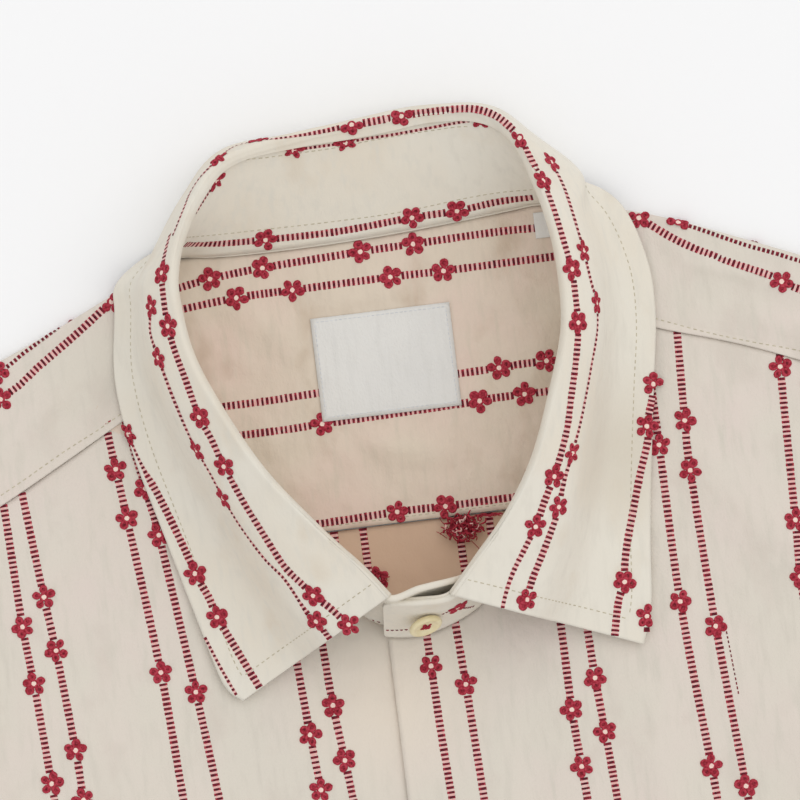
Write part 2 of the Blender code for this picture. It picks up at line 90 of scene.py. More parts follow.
# The collar from its left front end round the back to the right one: neck seam, fold, swell and
# outer edge, and how far the leaf is tucked under itself
Station = namedtuple(
    "Station",
    "seam_x seam_y seam_z crest_x crest_y crest_z belly_x belly_y belly_z edge_x edge_y edge_z tuck",
)
COLLAR = (
    Station(-14, -122.0, 4.2, -10.5, -114.0, 35.5, -29.5, -124.5, 29, -60.5, -141.5, 5.5, 0),
    Station(-27, -110.5, 4.2, -18.0, -103.8, 36.5, -36.2, -115.8, 29.5, -66.0, -135.5, 5.5, 0),
    Station(-40, -94.5, 4.2, -30.0, -90.0, 37.5, -45.4, -99.4, 30, -71.5, -115.5, 5.0, 0),
    Station(-52, -75.0, 4.2, -45.3, -69.6, 38.0, -57.4, -75.5, 30.5, -79.0, -86.0, 5.0, 0),
    Station(-63, -51.0, 4.2, -56.8, -47.5, 38.5, -67.8, -51.5, 31, -85.8, -58.0, 5.0, 0),
    Station(-69, -31.0, 4.2, -63.7, -29.5, 38.5, -74.1, -31.8, 31, -88.5, -35.0, 5.0, 0),
    Station(-71, -14.0, 4.2, -66.0, -12.0, 37.5, -75.0, -12.9, 30, -86.0, -14.0, 5.0, 0),
    Station(-70, -3.0, 4.2, -65.3, -2.5, 36.5, -74.4, -3.5, 27, -84.3, -4.6, 5.4, 0),
    Station(-64, 2.0, 3.8, -62.0, 8.0, 34.0, -69.8, 6.2, 14, -72.4, 3.6, 1.1, 0.5),
    Station(-54, 1.2, 3.5, -55.0, 20.0, 29.0, -59.6, 20.8, 11, -57.0, 9.0, 0.7, 1),
    Station(-42, 0.6, 3.4, -44.0, 30.0, 22.0, -46.0, 33.4, 9.5, -44.0, 8.0, 0.7, 1),
    Station(-20, 0.6, 3.4, -20.0, 34.3, 18.0, -20.0, 35.9, 8.5, -20.0, 8.0, 0.7, 1),
    Station(0, 1.2, 3.4, 0.0, 35.8, 17.5, 0.0, 38.1, 8.5, 0.0, 8.0, 0.7, 1),
    Station(20, 2.4, 3.4, 20.0, 37.6, 18.0, 20.0, 39.5, 9.0, 20.0, 9.5, 0.7, 1),
    Station(40, 4.0, 3.4, 38.0, 35.2, 22.0, 41.4, 36.4, 10, 38.0, 11.0, 0.7, 1),
    Station(52, 5.0, 3.5, 47.3, 27.0, 27.0, 53.6, 26.2, 12, 49.0, 12.0, 0.7, 1),
    Station(59, 3.5, 3.9, 52.3, 13.0, 32.5, 66.2, 12.6, 14, 67.4, 9.4, 3.4, 0.25),
    Station(62.5, -4.0, 4.2, 55.6, -1.5, 36.0, 63.9, -0.6, 29, 78.9, 0.7, 5.6, 0),
    Station(63.5, -18.0, 4.2, 57.1, -17.0, 38.0, 66.2, -17.3, 31, 84.9, -18.0, 5.0, 0),
    Station(62, -35.0, 4.2, 56.0, -36.0, 38.5, 65.6, -36.0, 31.5, 85.2, -36.0, 5.0, 0),
    Station(57.5, -55.0, 4.2, 49.6, -56.0, 38.5, 60.6, -56.3, 31.5, 82.0, -57.0, 5.0, 0),
    Station(50, -75.0, 4.2, 41.5, -76.0, 38.0, 54.4, -77.9, 31, 78.3, -81.5, 5.0, 0),
    Station(40.5, -94.0, 4.2, 31.0, -92.5, 37.5, 47.3, -97.3, 30.5, 75.0, -105.5, 5.0, 0),
    Station(28, -111.0, 4.6, 19.6, -105.2, 36.5, 39.8, -113.1, 29.5, 72.8, -126.0, 5.3, 0),
    Station(16, -121.5, 5.4, 10.0, -115.8, 35.5, 32.3, -124.7, 29, 68.8, -139.2, 5.5, 0),
)
UNDER_END = (
    (17.0, -115.5, 4.2, 15.8, -110.4, 27.0),
    (10.0, -118.8, 4.2, 10.0, -111.2, 33.0),
    (0.0, -121.6, 4.2, 0.0, -112.3, 35.0),
)
OVER_END = ((0.0, -127.2, 5.4, 0.0, -116.8, 33.4), (-13.2, -126.4, 5.4, -12.3, -115.4, 31.0))
STAND_ROWS = UNDER_END + tuple(row[:6] for row in COLLAR) + OVER_END
STAND_LAST = len(STAND_ROWS) - 1
LEFT_HPS = 7.0
RIGHT_HPS = 16.5
LEFT_YOKE_CORNER = 4.72
RIGHT_YOKE_CORNER = 18.72
FOLD_RISE = 1.5
FOLD_ROUND = 1.9
FOLD_DROP = 0.7
LOW_SHARE = 0.38
LOW_RISE = 0.22
LEAF_LOWEST = 1.6
LABEL = (-24.4, 20.4, -56.2, -23.0)
LABEL_INSET = 1.3
SIZE_TAB = (50.5, 58.6, -6.3, 2.0)
FIRST_BUTTON_Y = -196.0
BUTTON_SPACING = 88.0
FRONT_BUTTONS = 6
COLLAR_BUTTON_AT = 0.5
BUTTON_PROFILE = (
    (0, 1.55), (2.2, 1.55), (3.1, 1.6), (3.6, 1.95), (4.1, 2.25), (4.7, 2.3), (5.2, 2.05), (5.5, 1.5),
    (5.35, 0.7), (4.6, 0.1), (0, 0),
)
HOLE_OUT = 1.05
HOLE_RADIUS = 0.62
HOLE_LEVEL = 1.62
BUTTON_THREAD = 0.34
BUTTON_TILT = (0.24, 0.04, 0.1)
BUTTON_LIFT = 1.1

# The stand's round corners, the rolls of cloth on its edges and seam, and where the leaf is turned in
CORNER_RUN = 0.22
CORNER_DROP = 0.13
UPPER_ROLLS = ((0.2, 3.1), (STAND_LAST - 2.6, STAND_LAST - 0.2))
ROLL_BELOW = 0.012
BAND_ROLL = 1.1
INNER_ROLL = 0.85
INNER_ROLL_OFF = (0.1, 1.1, -0.9)
SEAM_ROLL = 0.5
SEAM_ROLL_RUN = (len(UNDER_END) + 5.5, len(UNDER_END) + 19.5)
SEAM_ROLL_OFF = (0.0, -0.35, -0.55)
LIP_AT = (7.5, 9.0, 10.3, 11.3, 12.5, 13.6)
LIP_DEPTH = (2.6, 1.1, 1.1, 2.6, 3.3, 2.6)
LEAF_INNER = 1.25
LEAF_BEND = 0.7
LEAF_TUCK = 2.5
NECK_CENTRE = (-4.0, -45.0, 60.0)
LEAF_SEAM = 6.6

# Long soft folds of the two fronts: line, half width and height
Fold = namedtuple("Fold", "start_x start_y end_x end_y width height")
FOLDS = (
    Fold(-96, -132, -172, -262, 15, 2.6),
    Fold(-58, -186, -96, -420, 20, 3.4),
    Fold(-140, -330, -232, -560, 24, 3.8),
    Fold(-60, -500, -84, -760, 26, 4.2),
    Fold(-190, -560, -176, -770, 22, 3.4),
    Fold(92, -128, 158, -250, 14, 2.2),
    Fold(66, -212, 88, -430, 22, 3.6),
    Fold(150, -300, 214, -520, 24, 3.2),
    Fold(96, -520, 74, -765, 28, 4.4),
    Fold(196, -600, 214, -775, 20, 3.0),
)

# Creases: a line, its half width, and its height, below 0 for a trough
FRONT_CREASES = (
    Fold(-92, -52, -152, -96, 5.5, -0.7),
    Fold(-96, -70, -140, -122, 7.0, 0.6),
    Fold(-100, -92, -150, -168, 8.0, -0.6),
    Fold(-74, -118, -112, -190, 9.0, 0.5),
    Fold(-60, -146, -64, -210, 8.0, -0.5),
    Fold(-26, -140, -34, -230, 6.0, 0.5),
    Fold(-18, -132, -20, -214, 3.0, -0.5),
    Fold(88, -44, 150, -84, 6.0, -0.6),
    Fold(84, -66, 132, -128, 7.5, 0.6),
    Fold(80, -104, 118, -176, 7.0, -0.6),
    Fold(62, -142, 74, -220, 8.0, 0.6),
    Fold(34, -136, 30, -214, 7.0, -0.6),
    Fold(104, -92, 152, -150, 9.0, 0.5),
    Fold(-180, -150, -246, -250, 12.0, -1.2),
    Fold(-120, -260, -190, -330, 9.0, -1.0),
    Fold(-40, -300, -60, -470, 10.0, -1.1),
    Fold(-150, -470, -210, -600, 13.0, 1.3),
    Fold(-110, -560, -128, -725, 11.0, -1.2),
    Fold(176, -160, 240, -262, 11.0, -1.1),
    Fold(118, -280, 176, -360, 10.0, 1.0),
    Fold(44, -320, 58, -500, 9.0, -1.0),
    Fold(150, -480, 196, -640, 12.0, -1.3),
    Fold(120, -600, 112, -728, 10.0, 1.1),
    Fold(-232, -330, -262, -520, 10.0, 0.9),
    Fold(236, -340, 258, -500, 9.0, -0.9),
)
YOKE_CREASES = (
    Fold(-92, -16, -134, -44, 3.4, -0.5),
    Fold(-96, -32, -142, -62, 4.6, 0.6),
    Fold(-88, -38, -112, -46, 3.0, -0.4),
    Fold(-140, -40, -206, -72, 6.0, 0.8),
    Fold(-150, -60, -214, -98, 7.0, -0.8),
    Fold(90, -16, 140, -36, 3.4, 0.5),
    Fold(92, -27, 146, -46, 4.2, -0.5),
    Fold(118, -40, 150, -56, 5.0, 0.5),
    Fold(146, -36, 208, -64, 6.0, -0.8),
    Fold(150, -52, 212, -88, 7.0, 0.8),
)
LINING_CREASES = (
    Fold(-52, -14, -22, -34, 4.0, 0.4),
    Fold(-58, -30, -30, -58, 5.5, -0.5),
    Fold(-48, -52, -30, -84, 4.0, 0.45),
    Fold(-40, -62, -6, -80, 5.0, -0.5),
    Fold(-16, -60, 18, -74, 4.0, 0.45),
    Fold(10, -58, 42, -80, 5.0, -0.5),
    Fold(24, -20, 52, -38, 4.5, 0.5),
    Fold(30, -8, 56, -24, 4.0, -0.4),
    Fold(-22, -14, 16, -20, 3.5, 0.35),
    Fold(22, -62, 34, -86, 3.2, 0.4),
    Fold(-110, -40, -60, -70, 8.0, 0.6),
    Fold(70, -30, 130, -70, 8.0, -0.6),
)
BACK_CREASES = (
    Fold(-40, -110, 20, -130, 6.0, 0.3),
    Fold(-20, -96, 34, -112, 4.0, -0.3),
    Fold(60, -140, 120, -220, 14.0, 0.3),
)
SLEEVE_CREASES = (
    Fold(250, -120, 340, -160, 9.0, 0.9),
    Fold(240, -170, 330, -230, 11.0, -0.9),
    Fold(262, -230, 340, -290, 9.0, 0.8),
    Fold(300, -140, 400, -200, 10.0, -0.8),
    Fold(330, -210, 376, -270, 8.0, 0.8),
)

# How much higher ridges and deeper troughs are made than these tables say
RIDGE_GAIN = 2.2
TROUGH_GAIN = 1.15

# Stripes of the fronts, from the yoke down, with where their flowers are and where they look narrow
Stripe = namedtuple("Stripe", "points flowers narrow", defaults=(None,))


def woven(points, flowers=(), narrow=None):
    """A stripe of the tables; a flower is a place, or the number of one of the stripe's points."""
    return Stripe(points, tuple(points[k] if isinstance(k, int) else k for k in flowers), narrow)


LEFT_STRIPES = (
    woven(((-128.6, -80), (-127.6, -109.6), (-126.3, -128.1), (-124.5, -160.3)), (1, 2, 3)),
    woven(((-122.7, -66.6), (-119.7, -100.9), (-118, -118.5), (-115.6, -150.7), (-115, -166.9)),
        (1, 2, 3, 4)),
    woven(((-91.9, -63.3), (-90.3, -79), (-85.5, -129.3), (-83.3, -170.8)), (0, 1, 2)),
    woven(((-83.4, -69.4), (-82.3, -76), (-80.8, -85.7), (-75.2, -137), (-71.9, -172.2)), ((-83.2, -70.4),
        2, 3)),
    woven(((-42.6, -121), (-40.6, -154.8), (-39.3, -173)), (1, 2)),
    woven(((-33.4, -122), (-32.2, -146.5), (-30.5, -164.4)), (1, 2)),
)
RIGHT_STRIPES = (
    woven(((0.3, -126.3), (0.5, -137.6), (1.1, -160), (2, -181.3)), (1,)),
    woven(((9.9, -126), (10.8, -145), (12.2, -182.5)), (1,)),
    woven(((43.3, -131.6), (43.5, -157.4), (44.4, -175.4), (45, -186.5)), (1, 2)),
    woven(((51.6, -134), (52.1, -147.8), (53.2, -165.5), (54.2, -182)), (1, 2)),
    woven(((81.3, -56), (81.5, -76.6), (82.1, -127.1), (85.6, -180.3)), (1, 2, 3)),
    woven(((91.6, -41.3), (90.6, -69.6), (90.4, -85.7), (92.4, -136.3), (95.8, -188)), (1, 2, 3, 4)),
    woven(((123.4, -52), (123, -56.5), (121.8, -105.7), (121.2, -123.7), (121.8, -141)), (1, 2, 3)),
    woven(((132.6, -56), (131.8, -88), (131, -118), (131.4, -150)), ((132.4, -64), (131.4, -100), 2, 3)),
)
REPEAT = 42.6
PAIR = 9.4
SLOPE_RUN = 120.0

# Stripes of the yoke where it comes over the shoulders
LEFT_SHOULDER = (
    woven(((-76, -2.4), (-87, -9.9), (-99.2, -18.7), (-112.6, -27.7), (-121.6, -34), (-150, -49.5),
        (-190, -69), (-224, -86)), (1, (-125.3, -37.4), (-168, -58.4), (-184, -66), (-216, -82))),
)
RIGHT_SHOULDER = (
    woven(((74, 4), (84.6, -4.2), (96.3, -13.1), (111.7, -21.5), (123.3, -27.1), (132.4, -32.7),
        (160, -43.6), (224, -70)), ((84, -3.9), (126.9, -29.2), (158, -42.8), (176, -50.4), (212, -65))),
)
SHOULDER_FOLD_STRIPES = (
    woven(((-96, -12.2), (-103.5, -15.6), (-116, -22.3), (-125.1, -27.6), (-150, -37.2), (-190, -52.4),
        (-226, -66)), ((-125.6, -28), (-158, -40.4), (-206, -58.4))),
    woven(((92.5, -5.2), (96.3, -6.8), (103.2, -9.9), (116.1, -16.2), (125.9, -20.3), (134.8, -24.2),
        (160, -34), (226, -60.8)), (1, (146, -28.4), (196, -48.6))),
)

# Stripes of the inner yoke, of the stand's inside and of the back below the yoke
LINING_STRIPES = (
    woven(((-68, -8.6), (-54.6, -6.4), (-37.4, -4.9), (-5.9, -3.6), (11.2, -3.2), (40, -2.6), (60, -3.4)),
        (1, 2, 3, 4)),
    woven(((-72, -15.6), (-46.8, -13.4), (-28.7, -13.1), (2.9, -12.8), (20, -12.9), (60, -12.6)),
        (1, 2, 3, 4)),
    woven(((-160, -46.6), (-55, -47.4), (-24, -46.8), (33.7, -45.9), (49.2, -45.5), (160, -46)),
        ((-120, -46.6), (-104, -46.8), 3, 4, (100, -45.8))),
    woven(((-200, -56.6), (-55, -57.2), (-24.7, -56.8), (26.4, -55.6), (40.9, -55.2), (200, -55.6)),
        ((-140, -56.8), (-92, -57), 2, 3, 4, (88, -55.2), (136, -55.4))),
    woven(((-210, -88.8), (-60, -88.8), (-4.3, -87.6), (11.5, -87.7), (60, -87.4), (210, -88)),
        ((-150, -88.8), (-102, -88.8), 2, 3, (90, -87.5), (140, -87.6))),
)
STAND_STRIPES = (
    woven(((-61, 5.4), (-50, 4.4), (-35.3, 3.9), (-12, 3.7), (11.6, 5.2), (26.5, 5.6), (40, 6.9),
        (51, 6.9)), (2, 4, 5)),
)
BACK_STRIPE_X = (-25.2, -15.9, 14.6, 24.6)

# Stripes of the collar leaf as seen from above, each from front end to front end or to an edge
LEAF_STRIPES = (
    woven(((-22.1, -122.8), (-25.2, -119.7), (-29.5, -114.7), (-34.1, -110.4), (-36.8, -106.8),
        (-41.8, -100.4), (-47, -89.9), (-52.2, -78.6), (-57.1, -66.3), (-59.9, -57.5), (-62.9, -49.9),
        (-66, -36.7), (-68.2, -27.4), (-69.3, -19.7), (-69.6, -12.4), (-69.2, -3), (-67.2, 4), (-65.2, 9)),
        ((-23.3, -121.4), 3, 8, 10, 13, 15)),
    woven(((-28.2, -127.6), (-30.7, -124.4), (-33.9, -119), (-37, -115), (-42.3, -104.5), (-47.9, -97.2),
        (-54, -86.6), (-58.6, -76.5), (-61.7, -68.3), (-65.2, -60.1), (-67.3, -54.1), (-70.5, -42.8),
        (-73.7, -29.2), (-75.2, -20.8), (-73.8, -12.7)), (2, 7, 9, (-73.8, -29.6), (-74, -13.1)),
        ((-118, 1), (-112, 0.45), (-60, 0.5), (-48, 0.65))),
    woven(((-54.6, -138.3), (-58.5, -129.6), (-62.4, -120.9), (-65.5, -113.9), (-67.3, -107.5),
        (-70.8, -99.3), (-71.9, -95), (-75.8, -83.1), (-79.5, -72.7), (-82.6, -65.2), (-84.9, -58.4),
        (-86.6, -52)), (3, 5, (-86.4, -52.6)), ((-69, 1), (-64.5, 0.5), (-58, 0.3))),
    woven(((-62.4, -139.4), (-65.4, -132.4), (-67.3, -127.6), (-70.1, -120)), (), ((-141, 0.4),
        (-100, 0.4))),
    woven(((24.2, -125.2), (26.7, -117.8), (30, -110.9), (35, -103.3), (38.9, -97.3), (42.4, -90.2),
        (46.7, -82.1), (49, -77), (52.6, -67.6), (55, -58.2), (57.3, -49.4), (59.1, -41.4), (60.1, -34.9),
        (60.3, -25.1), (60.2, -17.7), (58.9, -9.3), (57, 1.6), (54.6, 11.5), (52, 17.9), (49, 25.8),
        (45.3, 31), (42, 34.1), (37.4, 36.4), (32, 37.5), (23.4, 37.8), (16.6, 37.8), (12.4, 37.6),
        (8, 37.3), (1.8, 36.9), (-3.5, 36.7), (-7.6, 36.4)), ((24.4, -124.2), 4, 6, 12, 14, 17, 19, 26, 29),
        ((-123, 0.55), (-113, 0.6), (-102, 0.8), (-95, 1))),
    woven(((31.8, -125.9), (33.4, -119.9), (35.8, -114), (40, -106.3), (44.8, -97.1), (46.9, -92),
        (49.8, -83.7), (53.2, -75.9), (56.7, -67.3), (59.9, -57.9), (62.6, -49.2), (65.9, -38.1),
        (66.8, -29.2), (65.9, -22.5), (64.7, -12.1), (63.6, -4.9), (61.1, 8.5), (58, 17.1)),
        (1, 5, 7, 12, 14, 17), ((-100, 1), (-88, 0.85), (-76, 0.5), (-50, 0.5), (-4, 0.6), (17, 0.7))),
    woven(((59.8, -135.9), (62.4, -124.7), (65.2, -118.5), (65.8, -113.6), (67.5, -106.4), (71, -95.3),
        (74.3, -85), (78, -74.8), (78.2, -70.3), (81.5, -59.8), (82, -54)), (2, 8, (81.5, -56.8))),
    woven(((69.4, -139.6), (70, -137.1), (70.9, -130.4)), ((70.9, -130.6),), ((-141, 0.8), (-120, 0.8))),
)
CREST_STRIPES = (
    woven(((-64.3, 8.5), (-59.7, 16.8), (-57.3, 21.3), (-54, 25.4), (-50.9, 28.1), (-47, 31.2),
        (-44.4, 33.1), (-41.4, 34.5), (-37.8, 35.1), (-33.7, 35.4), (-30.1, 35.3), (-22.9, 35.3),
        (-14.5, 35.7), (-7.6, 36.3)), ((-47.2, 31.6), (-33.7, 36.2)), ((8, 0.62), (26, 0.55), (31, 0.45),
        (34.5, 0.26), (35.3, 0.3), (35.6, 0.5), (36.3, 0.7))),
)
FOLD_NARROW = ((0.0, 0.4), (40.0, 0.4))
FOLD_STRIPES = (
    woven(((-56.4, 14.6), (-48.4, 24.4), (-46.6, 25.9)), (1,), FOLD_NARROW),
    woven(((-27.5, 31), (-22.8, 31), (-19.2, 31.1), (-14.5, 31.2), (-6, 31.3), (-2, 31.7), (9.2, 32.1),
        (19.7, 32.7), (32.1, 33.4), (37.6, 32.9), (41, 31.6)), ((-22.8, 31.4), (-6, 31.6), (37.2, 33.2)),
        FOLD_NARROW),
)

# A pulled thread of the front, and cut stripes of the band's outside near its button
PULLED_THREADS = (
    woven(((95.6, -138.4), (97, -158.6))),
)
BAND_STRIPES = (
    woven(((-12.3, -124.6), (-9, -125), (-5.6, -125.2))),
    woven(((6, -121.6), (8.4, -120.9), (11.1, -120.1), (14.1, -120.6), (16.4, -120.4)), (2,)),
    woven(((-16.4, -120.9), (-15.2, -121.4), (-14, -121.9))),
)

# Loose threads at the yoke's seam and on a flower of the back
FRAY_MIDDLE = (15.8, -95.2)
FRAY_REACH = 4.7
FRAY_LEVEL = 3.4
FRAY_BELOW = 5.5
FRAY_COUNT = 170
SEAM_FRAY_COUNT = 26
SEAM_FRAY_LEVEL = 3.2
STRAY_LEVEL = 2.6
STRAY_RADIUS = 0.13
LOOSE_LEVEL = 1.7
LOOSE_COUNT = 26
STRAY_THREADS = (
    ((18, -99.5), (20.6, -103), (21, -106.2), (19.2, -106.8), (18.6, -104.4)),
    ((10.6, -98), (8.6, -96.2), (7.4, -95.4)),
    ((11.6, -95), (9.6, -92.6), (9, -91)),
    ((19, -93), (22.4, -91.4), (24, -91.9)),
)
SEAM_FRAY = (20.4, 27.4, -92.0, -91.4)
LOOSE_FLOWER = (-12.9, -108.1)

# Rows of sewing on the stand's inside, on the yoke beside its front seams and on its inner layer
STAND_SEWING = (
    ((-42.9, 29), (-38.5, 29.8), (-31.9, 29.7), (-20.5, 29.9), (-8.5, 30.2), (1, 31), (15.3, 31.7),
     (28.2, 32), (34.6, 31.6)),
    ((-62.5, 7.6), (-50, 7.3), (-38.4, 7.2), (-13.8, 7), (8.3, 7.4), (29.2, 9.2), (41, 9.7), (52, 9.3)),
)
YOKE_SEWING = (
    ((-86, -44.6), (-95.7, -49.8), (-106.2, -54.8), (-116.8, -60.4), (-129.9, -67.2), (-220, -112.8)),
    ((84.6, -36), (100.8, -42.6), (116.6, -48), (129.9, -52.2), (150, -60.6), (222, -97)),
)
LINING_SEWING = (
    ((-200, -89.8), (-60, -89.8), (-30.1, -89.6), (12.7, -89.4), (60, -89.4), (200, -89.8)),
)

# Where the photo ends below, how far stripes are fully made, and distances between the flowers past it
PHOTO_END_Y = -186.0
PHOTO_LEAN = 0.12
VIEW_X = 158.0
VIEW_Y = -208.0
LINING_VIEW_X = 74.0
BACK_VIEW_Y = -128.0
HIDDEN_GAPS = (31.8, 17.7, 49.6, 50.4, 17.7, 31.8, 50.0)

# Bars, flowers and sewing
BAR_LENGTH = 2.5
BAR_WIDTH = 0.94
BAR_PITCH = 1.55
BAR_HEIGHT = 0.2
FLOWER_GAP = 4.0
PETALS = 5
PETAL_OUT = 2.36
PETAL_RING = 1.0
OFF_CLOTH = 0.85
SEARCH_LIFT = 0.8
ON_LINE = 1.6
LOOK_AHEAD = 0.6
RUN_BREAK = 4.0
BAR_SHIFT = 0.05
END_ROOM = 0.4
PLAIN_PETAL = 1.25
THREAD = 0.52
RIBBON_HALF = 1.05
STITCH = 1.2
STITCH_PITCH = 2.15
STITCH_WIDTH = 0.34
STITCH_RISE = 0.16


def smooth(t):
    """A soft step from 0 to 1."""
    t = np.clip(t, 0.0, 1.0)
    return t * t * (3 - 2 * t)


def along(rows, t):
    """Points number t of a smooth curve through the rows."""
    rows = np.asarray(rows, float)
    t = np.asarray(t, float)
    last = len(rows) - 1
    i = np.clip(t, 0, last - 1e-9).astype(int)
    f = (t - i).reshape(t.shape + (1,) * (rows.ndim - 1))
    a = rows[np.maximum(i - 1, 0)]
    b = rows[i]
    c = rows[i + 1]
    d = rows[np.minimum(i + 2, last)]
    return 0.5 * (2 * b + (c - a) * f + (2 * a - 5 * b + 4 * c - d) * f**2 + (3 * b - a - 3 * c + d) * f**3)


def path(points, smoothness=12):
    """A function of 0 to 1 that runs evenly along a smooth curve through the points."""
    fine = along(points, np.linspace(0, len(points) - 1, (len(points) - 1) * smoothness + 1))
    walked = np.concatenate([[0.0], np.cumsum(np.linalg.norm(np.diff(fine, axis=0), axis=1))])
    share = walked / walked[-1]

    def at(s):
        return np.stack([np.interp(s, share, fine[:, k]) for k in range(fine.shape[1])], axis=-1)

    return at


def joined(first, second, share):
    """One function of 0 to 1 that runs along the first path and then along the second."""

    def at(s):
        s = np.asarray(s, float)
        low = first(np.clip(s / share, 0, 1))
        high = second(np.clip((s - share) / (1 - share), 0, 1))
        return np.where((s <= share)[..., None], low, high)

    return at


def mirrored(points):
    """The same points on the other side of the middle."""
    return tuple((-x, y) for x, y in points)


def patch(bottom, top, left, right, u, v):
    """Points inside four boundary curves that meet at their corners, v along rows and u along columns."""
    across = u[None, :, None]
    up = v[:, None, None]
    ruled = (1 - up) * bottom(u)[None] + up * top(u)[None]
    ruled = ruled + (1 - across) * left(v)[:, None] + across * right(v)[:, None]
    low = (1 - across) * bottom(0.0) + across * bottom(1.0)
    high = (1 - across) * top(0.0) + across * top(1.0)
    return ruled - (1 - up) * low - up * high


def share_at(curve, y):
    """How far along a falling curve its Y is reached."""
    low, high = 0.0, 0.5
    for _ in range(40):
        middle = (low + high) / 2
        if curve(middle)[1] > y:
            low = middle
        else:
            high = middle
    return low


def relief(folds, x, y, even=False):
    """How far folds or creases lift the cloth, uneven along their length and across it unless even."""
    rise = np.zeros_like(x)
    for k, fold in enumerate(folds):
        run = np.array([fold.end_x - fold.start_x, fold.end_y - fold.start_y], float)
        length = np.linalg.norm(run)
        dx, dy = x - fold.start_x, y - fold.start_y
        s = (dx * run[0] + dy * run[1]) / length**2
        across = (dx * run[1] - dy * run[0]) / length
        width = fold.width
        if not even:
            across = across - 0.35 * width * np.sin(2.6 * s + 1.7 * k)
            width = width * (0.8 + 0.35 * np.sin(3.1 * s + 2.3 * k) ** 2)
        rise += fold.height * np.exp(-((across / width) ** 2)) * smooth(3 * s) * smooth(3 * (1 - s))
    return rise if even else np.where(rise > 0, RIDGE_GAIN, TROUGH_GAIN) * rise


def ripple(x, y, size, height, seed):
    """Small soft unevenness of the cloth."""
    flat_x, flat_y = np.ravel(x), np.ravel(y)
    rise = [noise.noise((a / size, b / size, seed)) for a, b in zip(flat_x, flat_y)]
    return height * np.array(rise).reshape(np.shape(x))


def to_frame(points):
    """Points in millimetres, moved into the frame."""
    return np.asarray(points, float) * MM + SHIFT


def finish_piece(piece):
    """Put a piece into the scene, on the shirt's one body."""
    bpy.context.scene.collection.objects.link(piece)
    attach(piece, "root")
    return piece


def shell(name, grids, thick, finish, closed=False):
    """A thin cloth piece on one or more grids of middle points in millimetres."""
    points, faces, start = [], [], 0
    for grid in grids:
        rows, cols = grid.shape[:2]
        number = np.arange(rows * cols).reshape(rows, cols) + start
        if closed:
            number = np.concatenate([number, number[:, :1]], axis=1)
        quads = [number[:-1, :-1], number[:-1, 1:], number[1:, 1:], number[1:, :-1]]
        faces.append(np.stack(quads, axis=-1).reshape(-1, 4))
        points.append(to_frame(grid).reshape(-1, 3))
        start += rows * cols
    middle = bpy.data.meshes.new(name + "_middle")
    middle.from_pydata(np.concatenate(points).tolist(), [], np.concatenate(faces).tolist())
    piece = bpy.data.objects.new(name, middle)
    bpy.context.scene.collection.objects.link(piece)
    if len(grids) > 1:
        weld = piece.modifiers.new("Joined", "WELD")
        weld.merge_threshold = 0.00002
    solid = piece.modifiers.new("Cloth wall", "SOLIDIFY")
    solid.thickness = thick * MM
    solid.offset = 0.0
    solid.use_rim = True
    bpy.context.view_layer.update()
    graph = bpy.context.evaluated_depsgraph_get()
    mesh = bpy.data.meshes.new_from_object(piece.evaluated_get(graph))
    bpy.data.objects.remove(piece, do_unlink=True)
    mesh.name = name
    mesh.shade_smooth()
    mesh.materials.clear()
    mesh.materials.append(finish)
    shown = bpy.data.objects.new(name + "_cloth", mesh)
    finish_piece(shown)
    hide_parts(name)
    return shown


def tree_of(piece):
    """A search tree of a piece's surface."""
    mesh = piece.data
    return BVHTree.FromPolygons([v.co for v in mesh.vertices], [p.vertices for p in mesh.polygons])


DOWN = Vector((0, 0, -1))
RAY_START = 0.3


def drop(tree, plan, from_below=False):
    """Where plan points in millimetres meet a surface from above or below; None where they miss."""
    hits = []
    for x, y in plan:
        start = Vector((x * MM, y * MM + SHIFT[1], -RAY_START if from_below else RAY_START))
        point, normal, _, _ = tree.ray_cast(start, -DOWN if from_below else DOWN)
        hits.append(None if point is None else (np.array(point), np.array(normal)))
    return hits


def unit(v):
    """A vector at length 1."""
    return v / max(np.linalg.norm(v), 1e-12)


class Threads:
    """Sewn and woven threads of one garment piece, gathered into one mesh."""

    def __init__(self, tree):
        self.tree = tree
        self.points = []
        self.faces = []
        self.kinds = []
        self.count = 0

    def add(self, points, faces, kinds):
        """Take in one element, its points in the frame's metres."""
        self.points.append(np.asarray(points))
        self.faces.extend(tuple(k + self.count for k in face) for face in faces)
        self.kinds.extend(kinds)
        self.count += len(points)

    def settle(self, point, normal):
        """The nearest place of the cloth to a point, on the side that the normal shows."""
        found, facing, _, _ = self.tree.find_nearest(Vector(point + normal * SEARCH_LIFT * MM))
        facing = np.array(facing)
        if facing @ normal < 0:
            return point, normal
        return np.array(found), facing

    def build(self, name, finishes, slot):
        """Make the piece."""
        mesh = bpy.data.meshes.new(name)
        mesh.from_pydata(np.concatenate(self.points).tolist(), [], self.faces)
        for made in finishes:
            mesh.materials.append(made)
        mesh.polygons.foreach_set("material_index", self.kinds)
        mesh.shade_smooth()
        mesh.update()
        return finish_piece(bpy.data.objects.new(name, mesh))


DARK, RED, PINK, CREAM, PETAL, INNER = range(6)


def place(centre, across, onward, normal, local):
    """Local millimetre points (across, onward, up) at a place of the cloth."""
    local = np.asarray(local, float) * MM
    return centre + local[:, :1] * across + local[:, 1:2] * onward + local[:, 2:] * normal


